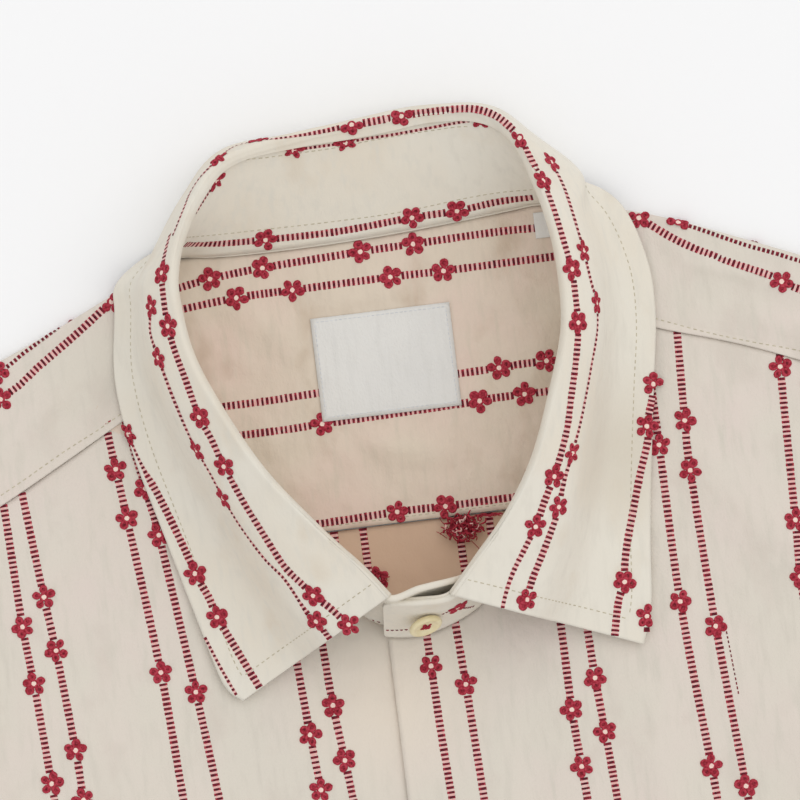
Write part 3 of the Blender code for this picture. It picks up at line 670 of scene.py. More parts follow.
def add_bar(threads, centre, onward, normal, plain, cut=1.0):
    """One bar of a ladder stripe, a little uneven; a cut one is partly hidden in a seam."""
    onward = unit(onward - normal * (onward @ normal))
    across = np.cross(normal, onward)
    half = BAR_LENGTH / 2 * cut * RANDOM.uniform(0.93, 1.05)
    wide = BAR_WIDTH / 2 * RANDOM.uniform(0.85, 1.1)
    core = RANDOM.uniform(-0.22, 0.22)
    shaded = int(RANDOM.integers(0, 3))
    if plain:
        local = [(-half, -wide, 0.06), (half, -wide, 0.06), (half, wide, 0.06), (-half, wide, 0.06)]
        threads.add(place(centre, across, onward, normal, local), [(0, 1, 2, 3)], [RED])
        return
    core = core * cut
    columns = (-half, -half + 0.42 * cut + core, half - 0.42 * cut + core, half)
    heights = (0.1, BAR_HEIGHT, BAR_HEIGHT, 0.1)
    local = []
    for x, rise in zip(columns, heights):
        local += [(x, -wide, 0.02), (x, 0, rise), (x, wide, 0.02)]
    faces = []
    kinds = []
    for c in range(3):
        for r in range(2):
            a = 3 * c + r
            faces.append((a, a + 3, a + 4, a + 1))
            kinds.append(DARK if c == 1 or r == shaded else RED)
    threads.add(place(centre, across, onward, normal, local), faces, kinds)


def add_ring(threads, centre, across, onward, normal, radius, tube, lift, kind, squeeze=1.0, lumps=0.0):
    """A loop of thread lying on the cloth, lumpy as stitched loops are."""
    local = []
    around = 12
    arc = (0.0, 0.9, 1.8, 2.7, 3.14)
    for k in range(around):
        turn = 2 * math.pi * k / around
        thick = tube * (1 + lumps * RANDOM.uniform(-1, 1))
        for angle in arc:
            out = radius + thick * math.cos(angle)
            rise = lift + thick * 0.8 * math.sin(angle)
            local.append((out * math.cos(turn), squeeze * out * math.sin(turn), rise))
    faces = []
    kinds = []
    for k in range(around):
        nxt = (k + 1) % around
        for j in range(len(arc) - 1):
            a, b = len(arc) * k + j, len(arc) * nxt + j
            faces.append((a, b, b + 1, a + 1))
            kinds.append(kind)
    threads.add(place(centre, across, onward, normal, local), faces, kinds)


def add_disc(threads, centre, across, onward, normal, radius, lift, kind, around=8):
    """A flat round spot of thread."""
    turns = [2 * math.pi * k / around for k in range(around)]
    local = [(radius * math.cos(a), radius * math.sin(a), lift) for a in turns]
    threads.add(place(centre, across, onward, normal, local), [tuple(range(around))], [kind])


def add_flower(threads, centre, onward, normal, plain, squash=1.0):
    """A five-petalled flower of raised loops, turned and shaped a little differently each time."""
    onward = unit(onward - normal * (onward @ normal))
    across = np.cross(normal, onward)
    start = RANDOM.uniform(0, 2 * math.pi)
    for k in range(PETALS):
        turn = start + 2 * math.pi * (k + RANDOM.uniform(-0.09, 0.09)) / PETALS
        out = PETAL_OUT * RANDOM.uniform(0.93, 1.1)
        guess = centre + (across * math.cos(turn) * squash + onward * math.sin(turn)) * out * MM
        spot, facing = threads.settle(guess, normal)
        if np.linalg.norm(spot - guess) > OFF_CLOTH * MM or (plain and facing @ normal < 0.5):
            continue
        outward = unit(spot - centre)
        outward = unit(outward - facing * (outward @ facing))
        side = np.cross(facing, outward)
        if plain:
            add_disc(threads, spot, outward, side, facing, PLAIN_PETAL, 0.09, RED, around=6)
            continue
        ring = PETAL_RING * RANDOM.uniform(0.88, 1.08)
        add_disc(threads, spot, outward, side, facing, ring, 0.16, INNER)
        squeeze = RANDOM.uniform(0.85, 1.05) * squash
        add_ring(threads, spot, outward, side, facing, ring, THREAD, 0.05, PETAL, squeeze=squeeze, lumps=0.16)
    if plain:
        add_disc(threads, centre, across, onward, normal, 0.75, 0.12, CREAM, around=6)
        return
    add_ring(threads, centre, across, onward, normal, 1.08, 0.36, 0.1, PETAL, lumps=0.2)
    add_disc(threads, centre, across, onward, normal, 0.84, 0.24, CREAM, around=10)


def add_stitch(threads, start, end, normal, width):
    """One stitch lying between two points of the cloth."""
    onward = unit(end - start)
    across = np.cross(normal, onward)
    half = np.linalg.norm(end - start) / MM / 2
    local = []
    for y, lift in ((-half, 0.0), (-half * 0.6, STITCH_RISE), (half * 0.6, STITCH_RISE), (half, 0.0)):
        local += [(-width / 2, y, 0.01), (0, y, lift + 0.02), (width / 2, y, 0.01)]
    faces = []
    for c in range(3):
        for r in range(2):
            a = 3 * c + r
            faces.append((a, a + 3, a + 4, a + 1))
    centre = (start + end) / 2
    threads.add(place(centre, across, onward, normal, local), faces, [0] * len(faces))


def runs_of(hits):
    """Unbroken runs of places met, each as points, normals and the numbers of the samples."""
    runs, current = [], []
    for k, hit in enumerate(hits):
        jump = current and hit is not None and np.linalg.norm(hit[0] - hits[current[-1]][0]) > RUN_BREAK * MM
        if hit is None or jump:
            if len(current) > 2:
                runs.append(current)
            current = []
        if hit is not None:
            current.append(k)
    if len(current) > 2:
        runs.append(current)
    return [(np.array([hits[k][0] for k in run]), np.array([hits[k][1] for k in run]), run) for run in runs]


def walk(points):
    """Distance walked along points, in millimetres."""
    steps = np.linalg.norm(np.diff(points, axis=0), axis=1) / MM
    return np.concatenate([[0.0], np.cumsum(steps)])


def along_run(points, normals, walked, at):
    """Place, direction and normal at a distance along a run."""
    centre = np.array([np.interp(at, walked, points[:, k]) for k in range(3)])
    ahead = np.array([np.interp(at + LOOK_AHEAD, walked, points[:, k]) for k in range(3)])
    behind = np.array([np.interp(at - LOOK_AHEAD, walked, points[:, k]) for k in range(3)])
    normal = unit(np.array([np.interp(at, walked, normals[:, k]) for k in range(3)]))
    return centre, unit(ahead - behind), normal


def lay_stripe(threads, hits, plan, stripe, detailed, cut=1.0):
    """Lay one ladder stripe and its flowers on the places that its line meets."""
    narrow = np.array(stripe.narrow or ((-1000, 1.0), (1000, 1.0)))
    for points, normals, run in runs_of(hits):
        walked = walk(points)
        stops = []
        for x, y in stripe.flowers:
            away = np.hypot(plan[run, 0] - x, plan[run, 1] - y)
            nearest = int(np.argmin(away))
            if away[nearest] < ON_LINE:
                stops.append(walked[nearest])
        for stop in stops:
            centre, onward, normal = along_run(points, normals, walked, stop)
            x, y = (centre - SHIFT)[:2] / MM
            squash = np.interp(y, narrow[:, 0], narrow[:, 1]) ** 0.5
            add_flower(threads, centre, onward, normal, not detailed(x, y), squash)
        ends = sorted(stops)
        spans = list(zip([-FLOWER_GAP + END_ROOM] + ends, ends + [walked[-1] + FLOWER_GAP - END_ROOM]))
        for first, last in spans:
            room = last - first - 2 * FLOWER_GAP
            if room < END_ROOM:
                continue
            count = max(int(round(room / BAR_PITCH)), 1)
            strip = []
            for k in range(count + 1):
                at = first + FLOWER_GAP + room * k / count + RANDOM.uniform(-BAR_SHIFT, BAR_SHIFT)
                centre, onward, normal = along_run(points, normals, walked, at)
                x, y = (centre - SHIFT)[:2] / MM
                fine = detailed(x, y)
                share = cut * np.interp(y, narrow[:, 0], narrow[:, 1])
                add_bar(threads, centre, onward, normal, not fine, share)
                if fine and cut == 1:
                    strip.append((centre, onward, normal, share))
            lay_ribbon(threads, strip)


def lay_ribbon(threads, strip):
    """The tinted ground under a run of bars."""
    if len(strip) < 2:
        return
    points, faces = [], []
    for k, (centre, onward, normal, share) in enumerate(strip):
        across = np.cross(normal, unit(onward - normal * (onward @ normal))) * share
        points += [centre - across * RIBBON_HALF * MM, centre + across * RIBBON_HALF * MM]
        points[-2] = points[-2] + normal * 0.00004
        points[-1] = points[-1] + normal * 0.00004
        if k:
            faces.append((2 * k - 2, 2 * k - 1, 2 * k + 1, 2 * k))
    threads.add(points, faces, [PINK] * len(faces))


def plan_line(points, step=0.5):
    """Places every half millimetre along a line in plan."""
    at = path(points)
    fine = at(np.linspace(0, 1, 200))
    length = np.sum(np.linalg.norm(np.diff(fine, axis=0), axis=1))
    return at(np.linspace(0, 1, max(int(length / step), 4)))


def lay_stripes(threads, stripes, detailed, cut=1.0, from_below=False):
    """Lay stripes given in plan on the surface that they meet from above, or from below."""
    for stripe in stripes:
        plan = plan_line(stripe.points)
        hits = drop(threads.tree, plan, from_below)
        lay_stripe(threads, hits, plan, stripe, detailed, cut)


def sew(threads, plan, stitch=STITCH, pitch=STITCH_PITCH, width=STITCH_WIDTH, hits=None):
    """A row of stitches along a line in plan, or along places already found."""
    if hits is None:
        hits = drop(threads.tree, plan_line(plan))
    for points, normals, _ in runs_of(hits):
        walked = walk(points)
        at = 0.4
        while at + stitch < walked[-1]:
            start, _, normal = along_run(points, normals, walked, at)
            end, _, _ = along_run(points, normals, walked, at + stitch * RANDOM.uniform(0.9, 1.05))
            add_stitch(threads, start, end, normal, width)
            at += pitch


def in_view(x, y):
    """Whether a place is in or close to the photo's picture."""
    return abs(x) < VIEW_X and y > VIEW_Y


def continued(stripe):
    """A front stripe drawn on up to its seam and down to the hem, where it runs straight."""
    points = list(stripe.points)
    flowers = list(stripe.flowers)
    (x0, y0), (x1, y1) = points[0], points[1]
    lean = (x1 - x0) / (y1 - y0)
    points.insert(0, (x0 + lean * 40, y0 + 40))
    (x0, y0), (x1, y1) = points[-2], points[-1]
    lean = (x1 - x0) / (y1 - y0)
    for y in np.arange(y1 - 30, HEM_Y - 8, -30):
        points.append((x1 - lean * SLOPE_RUN * (1 - math.exp(-(y1 - y) / SLOPE_RUN)), y))
    y = flowers[-1][1] if flowers else y1
    k = int(abs(x1)) % len(HIDDEN_GAPS)
    y = min(y - HIDDEN_GAPS[k], PHOTO_END_Y - PHOTO_LEAN * x1)
    column = np.array(points)
    while y > HEM_Y + 6:
        flowers.append((np.interp(-y, -column[:, 1], column[:, 0]), y))
        k = (k + 1) % len(HIDDEN_GAPS)
        y -= HIDDEN_GAPS[k]
    return Stripe(tuple(points), tuple(flowers))


def nowhere(x, y):
    """No place is detailed on the pieces that the photo doesn't show."""
    return False


def hidden_stripe(start, end, k):
    """A straight stripe for a hidden place, its flowers in the photo's rhythm."""
    start, end = np.array(start, float), np.array(end, float)
    length = np.linalg.norm(end - start)
    at = HIDDEN_GAPS[k % len(HIDDEN_GAPS)] * 0.6
    flowers = []
    while at < length:
        flowers.append(tuple(start + (end - start) * at / length))
        k += 1
        at += HIDDEN_GAPS[k % len(HIDDEN_GAPS)]
    return Stripe((tuple(start), tuple((start + end) / 2), tuple(end)), tuple(flowers))


def hidden_stripes():
    """Stripes of the back's and the yoke's undersides, and of one sleeve."""
    back, yoke, sleeve = [], [], []
    for n in range(-7, 8):
        for x in (n * REPEAT, n * REPEAT + PAIR):
            back.append(hidden_stripe((x, YOKE_SEAM_Y - 1), (x, HEM_Y + 1), abs(2 * n + 5)))
    for n in range(3):
        for y in (-7.0 - n * REPEAT, -7.0 - n * REPEAT - PAIR):
            yoke.append(hidden_stripe((-230, y), (230, y), 3 * n + 1))
    top, under = np.array(SLEEVE_TOP), np.array(SLEEVE_UNDER)
    down = (under - top) / np.linalg.norm(under - top)
    inward = np.array([down[1], -down[0]])
    for n in range(5):
        for d in (6 + n * REPEAT, 6 + n * REPEAT + PAIR):
            start = top + down * d + inward * 1.5
            sleeve.append(hidden_stripe(start, start + inward * 260, 2 * n))
    return back, yoke, sleeve


def beside(stripe, shift, drop_by):
    """The same stripe one or more repeats to the side."""
    move = [(x + shift, y + drop_by) for x, y in stripe.points]
    return Stripe(tuple(move), tuple((x + shift, y + drop_by) for x, y in stripe.flowers))


class Paint:
    """A material under way."""

    def __init__(self, name, roughness, gloss):
        self.material = bpy.data.materials.new(name)
        self.material.use_nodes = True
        self.nodes, self.links = self.material.node_tree.nodes, self.material.node_tree.links
        self.shader = self.nodes["Principled BSDF"]
        self.shader.inputs["Roughness"].default_value = roughness
        self.shader.inputs["Specular IOR Level"].default_value = gloss
        self.where = self.nodes.new("ShaderNodeTexCoord").outputs["Object"]

    def noise(self, scale, detail, stretch=(1, 1, 1)):
        """A cloudy value over the piece."""
        turned = self.nodes.new("ShaderNodeMapping")
        turned.inputs["Scale"].default_value = stretch
        self.links.new(self.where, turned.inputs["Vector"])
        texture = self.nodes.new("ShaderNodeTexNoise")
        texture.inputs["Scale"].default_value = scale
        texture.inputs["Detail"].default_value = detail
        self.links.new(turned.outputs["Vector"], texture.inputs["Vector"])
        return texture.outputs["Fac"]

    def blend(self, first, second, factor, low, high):
        """One colour giving way to another as the factor goes from low to high."""
        spread = self.nodes.new("ShaderNodeMapRange")
        spread.inputs["From Min"].default_value = low
        spread.inputs["From Max"].default_value = high
        self.links.new(factor, spread.inputs["Value"])
        mixed = self.nodes.new("ShaderNodeMix")
        mixed.data_type = "RGBA"
        self.links.new(spread.outputs["Result"], mixed.inputs["Factor"])
        for socket, value in ((6, first), (7, second)):
            if isinstance(value, tuple):
                mixed.inputs[socket].default_value = (*value, 1.0)
            else:
                self.links.new(value, mixed.inputs[socket])
        return mixed.outputs[2]

    def bump(self, strength, distance, height, under=None):
        """A raised surface, on another one."""
        made = self.nodes.new("ShaderNodeBump")
        made.inputs["Strength"].default_value = strength
        made.inputs["Distance"].default_value = distance
        self.links.new(height, made.inputs["Height"])
        if under:
            self.links.new(under, made.inputs["Normal"])
        return made.outputs["Normal"]


def cloth_finish(name, colour, tint, shade, weave=1.0, near=None, wrinkle=1.0):
    """Cotton with soft cloudy colour, darker patches of the shade colour that are partly uneven tone and
    partly painted shade of soft wrinkles, fine slubs along the grain and a woven surface.
    """
    paint = Paint(name, 0.92, 0.15)
    clouds = paint.blend(colour, tint, paint.noise(26.0, 3.0), 0.42, 0.72)
    # Darker patches of the shade colour: partly uneven tone, partly painted shade of soft wrinkles
    tone_and_painted_shade = paint.blend(clouds, shade, paint.noise(60.0, 4.0, (1.0, 0.7, 1.0)), 0.56, 0.86)
    darker = tuple(c * 0.93 for c in colour)
    base = paint.blend(tone_and_painted_shade, darker, paint.noise(420.0, 2.0, (1.0, 0.16, 1.0)), 0.5, 0.8)
    # Painted shade or painted light: another colour blended in round one place
    if near:
        away = paint.nodes.new("ShaderNodeVectorMath")
        away.operation = "DISTANCE"
        away.inputs[1].default_value = near.place
        paint.links.new(paint.where, away.inputs[0])
        base = paint.blend(near.colour, base, away.outputs["Value"], near.inner, near.outer)
    paint.links.new(base, paint.shader.inputs["Base Color"])
    woven_bump = paint.bump(0.35 * weave, 0.0003, paint.noise(1500.0, 2.0, (1.0, 0.6, 1.0)))
    soft_bump = paint.bump(0.5, 0.0022 * wrinkle, paint.noise(75.0, 2.5, (1.0, 0.75, 1.0)), woven_bump)
    paint.links.new(soft_bump, paint.shader.inputs["Normal"])
    return paint.material


def plain_finish(name, colour, second=None, scale=900.0, roughness=0.8):
    """Thread, tape or button: one colour, broken up a little by a second one."""
    paint = Paint(name, roughness, 0.25)
    paint.shader.inputs["Base Color"].default_value = (*colour, 1.0)
    if second:
        mixed = paint.blend(colour, second, paint.noise(scale, 2.0), 0.38, 0.62)
        paint.links.new(mixed, paint.shader.inputs["Base Color"])
    return paint.material


# Painted shade and painted light on the cloth, each a colour blended in round one place, in metres: where,
# which colour, and from how near to how far
Near = namedtuple("Near", "place colour inner outer")
# Painted shade: a darker, warmer colour on the back inside the neck, where it lies under the collar
NECK_SHADE = Near((SHIFT[0], SHIFT[1] - 0.1, 0.001), (0.64, 0.46, 0.34), 0.04, 0.075)
# Painted light: a lighter, warmer colour standing in for warm bounce light in the shade beside the band and
# placket
BAND_PAINTED_BOUNCE_LIGHT = Near((SHIFT[0] - 0.0145, SHIFT[1] - 0.147, 0.004), (0.79, 0.71, 0.615), 0.006, 0.036)
# Painted shade: a darker, warmer colour on the right leaf's swell
LEAF_PAINTED_SHADE = Near((SHIFT[0] + 0.0705, SHIFT[1] - 0.0768, 0.01), (0.69, 0.64, 0.55), 0.004, 0.03)
# Each cloth's colour, its cloudy tint, and its shade colour, whose darker patches are partly painted shade of
# soft wrinkles
BODY_COLOURS = ((0.715, 0.668, 0.592), (0.74, 0.655, 0.6), (0.63, 0.56, 0.5))
INNER_COLOURS = ((0.72, 0.628, 0.523), (0.76, 0.61, 0.53), (0.5, 0.385, 0.285))
COLLAR_COLOURS = ((0.778, 0.742, 0.662), (0.77, 0.71, 0.61), (0.69, 0.61, 0.5))
TAPE_COLOURS = ((0.77, 0.765, 0.745), (0.75, 0.745, 0.73), (0.72, 0.715, 0.7))
BODY_CLOTH = cloth_finish("cream cotton", *BODY_COLOURS, near=BAND_PAINTED_BOUNCE_LIGHT, wrinkle=1.4)
INNER_CLOTH = cloth_finish("inner cotton", *INNER_COLOURS, wrinkle=2.2)
BACK_CLOTH = cloth_finish("back cotton", *BODY_COLOURS, near=NECK_SHADE, wrinkle=1.4)
COLLAR_CLOTH = cloth_finish("collar cotton", *COLLAR_COLOURS, weave=0.6, near=LEAF_PAINTED_SHADE, wrinkle=0.8)
WHITE_TAPE = cloth_finish("white tape", *TAPE_COLOURS, weave=1.6, wrinkle=0.3)
DARK_THREAD = plain_finish("dark thread", (0.075, 0.006, 0.014), (0.2, 0.012, 0.026))
RED_THREAD = plain_finish("red thread", (0.3, 0.018, 0.035), (0.42, 0.035, 0.06))
PINK_GROUND = plain_finish("tinted ground", (0.8, 0.53, 0.5), (0.78, 0.42, 0.4))
CREAM_THREAD = plain_finish("cream thread", (0.86, 0.62, 0.56), (0.88, 0.72, 0.62))
PETAL_THREAD = plain_finish("petal thread", (0.3, 0.014, 0.03), (0.48, 0.05, 0.08), 1300.0)
PETAL_INSIDE = plain_finish("petal inside", (0.13, 0.007, 0.015), (0.36, 0.03, 0.05), 1500.0)
SEWING = plain_finish("sewing thread", (0.6, 0.55, 0.42), (0.5, 0.45, 0.33))
LABEL_SEWING = plain_finish("label thread", (0.62, 0.64, 0.67), (0.74, 0.76, 0.78))
HORN = plain_finish("button", (0.82, 0.74, 0.5), (0.76, 0.66, 0.4), 260.0, 0.32)
STRIPE_FINISHES = (DARK_THREAD, RED_THREAD, PINK_GROUND, CREAM_THREAD, PETAL_THREAD, PETAL_INSIDE)

# The yoke's turned fold, its lap over the fronts and the ridge and groove that its seam makes
YOKE_SPREAD = 1.12
YOKE_STEPS = 8
YOKE_TURN = (25, 50, 75, 100, 125, 150)
YOKE_LAP = 0.5
SEAM_RIDGE = 0.55
SEAM_RIDGE_RUN = 2.6
SEAM_GROOVE = 0.28
SEAM_GROOVE_AT = 2.4
SEAM_GROOVE_RUN = 0.9

# The inner yoke's margin inside the outer one, and how far a sleeve starts from its armhole
LINING_MARGIN = 4.0
SLEEVE_GAP = 0.8
SLEEVE_EASE = 12

# Thicknesses of the cloth, and how far the label is above the inner yoke
PANEL_THICK = 0.6
LEAF_THICK = 1.1
STAND_THICK = 1.2
LABEL_THICK = 0.4
LABEL_OFF = 0.62


def armhole(side):
    """The armhole from the shoulder point to the underarm, in straight steps."""
    curve = path(ARMHOLE if side > 0 else mirrored(ARMHOLE))
    marks = np.linspace(0, 1, ARMHOLE_STEPS + 1)
    corners = curve(marks)

    def at(s):
        return np.stack([np.interp(s, marks, corners[:, k]) for k in range(2)], axis=-1)

    return at


def side_edge(side, top_share):
    """A body panel's side: up the side seam, then up the armhole as far as a share of it."""
    hole = armhole(side)

    def seam(s):
        s = np.asarray(s, float)
        x = side * (HALF_HEM + (HALF_CHEST - HALF_HEM) * s)
        return np.stack([x, HEM_Y + (ARMHOLE[-1][1] - HEM_Y) * s], axis=-1)

    return joined(seam, lambda s: hole(1 - s * (1 - top_share)), SIDE_SHARE)


def straight(start, end):
    """A straight edge."""
    start, end = np.asarray(start, float), np.asarray(end, float)
    return lambda s: start + (end - start) * np.asarray(s, float)[..., None]


def neck_point(t):
    """Points of the neck seam, numbered as the collar's sections are."""
    return along([row[:2] for row in STAND_ROWS], np.asarray(t, float) + len(UNDER_END))


def with_height(plan, height):
    """A plan grid with heights."""
    return np.concatenate([plan, np.asarray(height)[..., None]], axis=-1)


def spaced(*stops):
    """Shares from 0 to 1 in stretches, each given as its end and its number of steps."""
    shares = [np.array([0.0])]
    start = 0.0
    for end, count in stops:
        shares.append(np.linspace(start, end, count + 1)[1:])
        start = end
    return np.concatenate(shares)


def fold_path(side):
    """The shoulder fold from the neck to the shoulder point."""
    return path(RIGHT_FOLD if side > 0 else LEFT_FOLD)


def yoke_seam_path(side):
    """The yoke's front seam from the neck to the armhole."""
    points, end_y = (RIGHT_YOKE_SEAM, RIGHT_YOKE_END_Y) if side > 0 else (LEFT_YOKE_SEAM, LEFT_YOKE_END_Y)
    hole = armhole(side)
    return path(points + (tuple(hole(share_at(hole, end_y))),))


def front_height(x, y, over):
    """Height of the middle of a front's cloth, with its folds and creases."""
    level = FRONT_LEVEL + (NECK_LEVEL - FRONT_LEVEL) * smooth((y - DROP_END_Y) / (DROP_START_Y - DROP_END_Y))
    if over:
        level = level + LAYER * (1 - smooth((x - OVERLAP_END_X) / OVERLAP_RUN))
    level = level + relief(FOLDS, x, y, even=True) + relief(FRONT_CREASES, x, y)
    level = level + ripple(x, y, 21.0, 0.35, 2.0) + ripple(x, y, 8.0, 0.12, 5.0)
    return np.maximum(level, BACK_LEVEL + 0.9)


def make_front(name, side):
    """One front."""
    over = side > 0
    edge_x = OVER_EDGE_X if over else UNDER_EDGE_X
    corner = RIGHT_YOKE_CORNER if over else LEFT_YOKE_CORNER
    edge_t = len(COLLAR) + len(OVER_END) - 1 if over else 1 - len(UNDER_END)
    end_y = RIGHT_YOKE_END_Y if over else LEFT_YOKE_END_Y
    seam = yoke_seam_path(side)
    below = np.array([0.0, -SEAM_WIDTH])
    neck_points = neck_point(edge_t + (corner - edge_t) * np.linspace(0, 1, 15))
    neck_points[0, 0] = edge_x
    neck_points[-1] = seam(0.0) + below
    top = joined(path(neck_points), lambda s: seam(s) + below, NECK_SHARE)
    sides = side_edge(side, share_at(armhole(side), end_y))
    shift = top(1.0) - sides(1.0)
    plan = patch(
        straight((edge_x, HEM_Y), (side * HALF_HEM, HEM_Y)),
        top,
        straight((edge_x, HEM_Y), (edge_x, top(0.0)[1])),
        lambda s: sides(s) + shift * np.asarray(s, float)[..., None],
        spaced((0.5, 84), (1.0, 34)),
        spaced((SIDE_SHARE, 70), (1.0, 110)),
    )
    height = front_height(plan[..., 0], plan[..., 1], over)
    return shell(name, [with_height(plan, height)], PANEL_THICK, BODY_CLOTH)


def make_back():
    """The back, flat on the table."""
    top_y = YOKE_SEAM_Y - SEAM_WIDTH
    top_share = share_at(armhole(1), top_y)
    left, right = side_edge(-1, top_share), side_edge(1, top_share)
    plan = patch(
        straight(left(0.0), right(0.0)), straight(left(1.0), right(1.0)), left, right,
        spaced((0.44, 24), (0.58, 44), (1.0, 24)), spaced((SIDE_SHARE, 30), (0.94, 34), (1.0, 24)),
    )
    x, y = plan[..., 0], plan[..., 1]
    height = BACK_LEVEL + np.maximum(relief(BACK_CREASES, x, y) + ripple(x, y, 14.0, 0.12, 3.0), -0.18)
    return shell("back", [with_height(plan, height)], PANEL_THICK, BACK_CLOTH)


def make_yoke():
    """The outer yoke: under the neck, round both shoulder folds and down to the fronts."""
    arm_x = armhole(1)(share_at(armhole(1), YOKE_SEAM_Y))[0]
    radius = (NECK_LEVEL - BACK_LEVEL) / 2
    grids = []
    for side in (-1, 1):
        turn_at, seam_at = fold_path(side), yoke_seam_path(side)
        inner_x = YOKE_SPREAD * turn_at(0.0)[0]
        shares = spaced((0.5, 52), (1.0, 34))
        turn, front = turn_at(shares), seam_at(shares)
        x = inner_x + (side * arm_x - inner_x) * shares
        bottom = np.stack([x, np.full_like(shares, YOKE_SEAM_Y)], axis=-1)
        inward = (front - turn) / np.linalg.norm(front - turn, axis=1)[:, None]
        level = np.full(len(shares), BACK_LEVEL)
        columns = [with_height(bottom + (turn - bottom) * s, level) for s in spaced((1.0, YOKE_STEPS))]
        for angle in np.radians(YOKE_TURN):
            ring = turn - inward * radius * math.sin(angle)
            columns.append(with_height(ring, level + radius * (1 - math.cos(angle))))
        for s in spaced((0.9, 26), (1.0, 6)):
            plan = turn + (front + (0, -YOKE_LAP) - turn) * s
            away = (1 - s) * np.linalg.norm(front - turn, axis=1)
            ridge = SEAM_RIDGE * np.exp(-((away / SEAM_RIDGE_RUN) ** 2))
            groove = SEAM_GROOVE * np.exp(-(((away - SEAM_GROOVE_AT) / SEAM_GROOVE_RUN) ** 2))
            ease = smooth(s * 4)
            height = NECK_LEVEL + ridge - groove + ease * relief(YOKE_CREASES, plan[:, 0], plan[:, 1])
            height = height + ease * ripple(plan[:, 0], plan[:, 1], 17.0, 0.35, 8.0)
            columns.append(with_height(plan, height))
        grids.append(np.stack(columns))
    tops = neck_point(LEFT_HPS + (RIGHT_HPS - LEFT_HPS) * spaced((1.0, 28)))
    bottoms = np.stack([YOKE_SPREAD * tops[:, 0], np.full(len(tops), YOKE_SEAM_Y)], axis=-1)
    level = np.full(len(tops), BACK_LEVEL)
    columns = [with_height(bottoms + (tops - bottoms) * s, level) for s in spaced((1.0, YOKE_STEPS))]
    grids.append(np.stack(columns))
    return shell("yoke", grids, PANEL_THICK, BODY_CLOTH)


def lining_height(x, y):
    """Height of the middle of the inner yoke."""
    rise = relief(LINING_CREASES, x, y) + ripple(x, y, 11.0, 0.35, 12.0) + ripple(x, y, 5.0, 0.12, 14.0)
    return LINING_LEVEL + np.maximum(rise, -0.45)


def make_lining():
    """The inner yoke, which shows inside the neck."""
    arm_x = armhole(1)(share_at(armhole(1), YOKE_SEAM_Y))[0] - LINING_MARGIN
    outer = np.linspace(0.2, 1, 5)
    left = fold_path(-1)(outer[::-1]) - (0, LINING_MARGIN)
    right = fold_path(1)(outer) - (0, LINING_MARGIN)
    neck = neck_point(LEFT_HPS + (RIGHT_HPS - LEFT_HPS) * np.linspace(0, 1, 13)) - (0, 0.5)
    tops = np.concatenate([left, neck, right])
    tops[:, 0] = np.clip(tops[:, 0], -arm_x, arm_x)
    marks = np.linspace(0, 1, len(tops))
    u = spaced((0.2, 12), (0.8, 110), (1.0, 12))
    top = np.stack([np.interp(u, marks, tops[:, k]) for k in range(2)], axis=-1)
    bottom = np.stack([-arm_x + 2 * arm_x * u, np.full_like(u, YOKE_SEAM_Y)], axis=-1)
    v = spaced((1.0, 58))[:, None, None]
    plan = bottom[None] + (top - bottom)[None] * v
    height = lining_height(plan[..., 0], plan[..., 1])
    return shell("yoke_lining", [with_height(plan, height)], PANEL_THICK, INNER_CLOTH)


def make_sleeve(name, side):
    """A short sleeve lying flat, folded along its top and at its underarm seam."""
    hole = armhole(side)
    middle = (BACK_LEVEL + SLEEVE_TOP_LEVEL) / 2
    radius = (SLEEVE_TOP_LEVEL - BACK_LEVEL) / 2
    top = np.array([side * SLEEVE_TOP[0], SLEEVE_TOP[1]])
    under = np.array([side * SLEEVE_UNDER[0], SLEEVE_UNDER[1]])
    shares = np.linspace(0.02, 0.98, 33)
    run = hole(shares + 0.01) - hole(shares - 0.01)
    out = side * np.stack([-run[:, 1], run[:, 0]], axis=-1) / np.linalg.norm(run, axis=1)[:, None]
    starts = hole(shares) + out * SLEEVE_GAP
    stops = top + (under - top) * shares[:, None]
    rows = []
    for v in spaced((1.0, 40)):
        plan = starts + (stops - starts) * v
        x, y = plan[:, 0], plan[:, 1]
        away = np.minimum(shares - shares[0], shares[-1] - shares) * SLEEVE_EASE
        ease = smooth(away)
        rise = relief(SLEEVE_CREASES, side * x, y) + ripple(x, y, 24.0, 0.8, 20.0)
        upper = SLEEVE_TOP_LEVEL + ease * np.maximum(rise, -0.5)
        ring = [with_height(plan, upper)]
        for at, sign in ((-1, 1), (0, -1)):
            inner = -3 if at else 2
            span = stops[at] - starts[at]
            turn = np.array([-span[1], span[0]]) / np.linalg.norm(span)
            if turn @ (stops[at] - stops[inner]) < 0:
                turn = -turn
            nose = []
            for angle in np.radians((45, 0, -45))[::sign]:
                spot = plan[at] + turn * radius * math.cos(angle)
                nose.append((*spot, middle + radius * math.sin(angle)))
            ring.append(np.array(nose))
            if at:
                ring.append(with_height(plan[::-1], np.full(len(plan), BACK_LEVEL)))
        rows.append(np.concatenate(ring))
    return shell(name, [np.stack(rows)], PANEL_THICK, BODY_CLOTH, closed=True)


def stand_point(t, h):
    """Points of the collar stand, h of the way up from the neck seam to the fold."""
    row = along(STAND_ROWS, t)
    h = np.asarray(h, float)[..., None]
    return row[..., :3] + (row[..., 3:6] - row[..., :3]) * h


def rounded(t):
    """How far the stand's over end is cut back along t, from 0 to 1, by its round corner."""
    corner = np.clip((t - STAND_LAST + CORNER_RUN) / CORNER_RUN, 0, 1)
    return 1 - np.sqrt(1 - corner**2)


def make_stand():
    """The stand, its two ends lying over each other at the front, their corners rounded."""
    before = STAND_LAST - 1
    t = np.concatenate([np.linspace(0, before, before * 8 + 1), np.linspace(before, STAND_LAST, 25)[1:]])
    h = np.linspace(0, 1, 21)
    top = 1 - CORNER_DROP * rounded(t)
    foot = 0.5 * CORNER_DROP * rounded(t)
    grid = stand_point(t[:, None] + 0 * h, foot[:, None] + (top - foot)[:, None] * h)
    return shell("collar_stand", [grid], STAND_THICK, COLLAR_CLOTH)


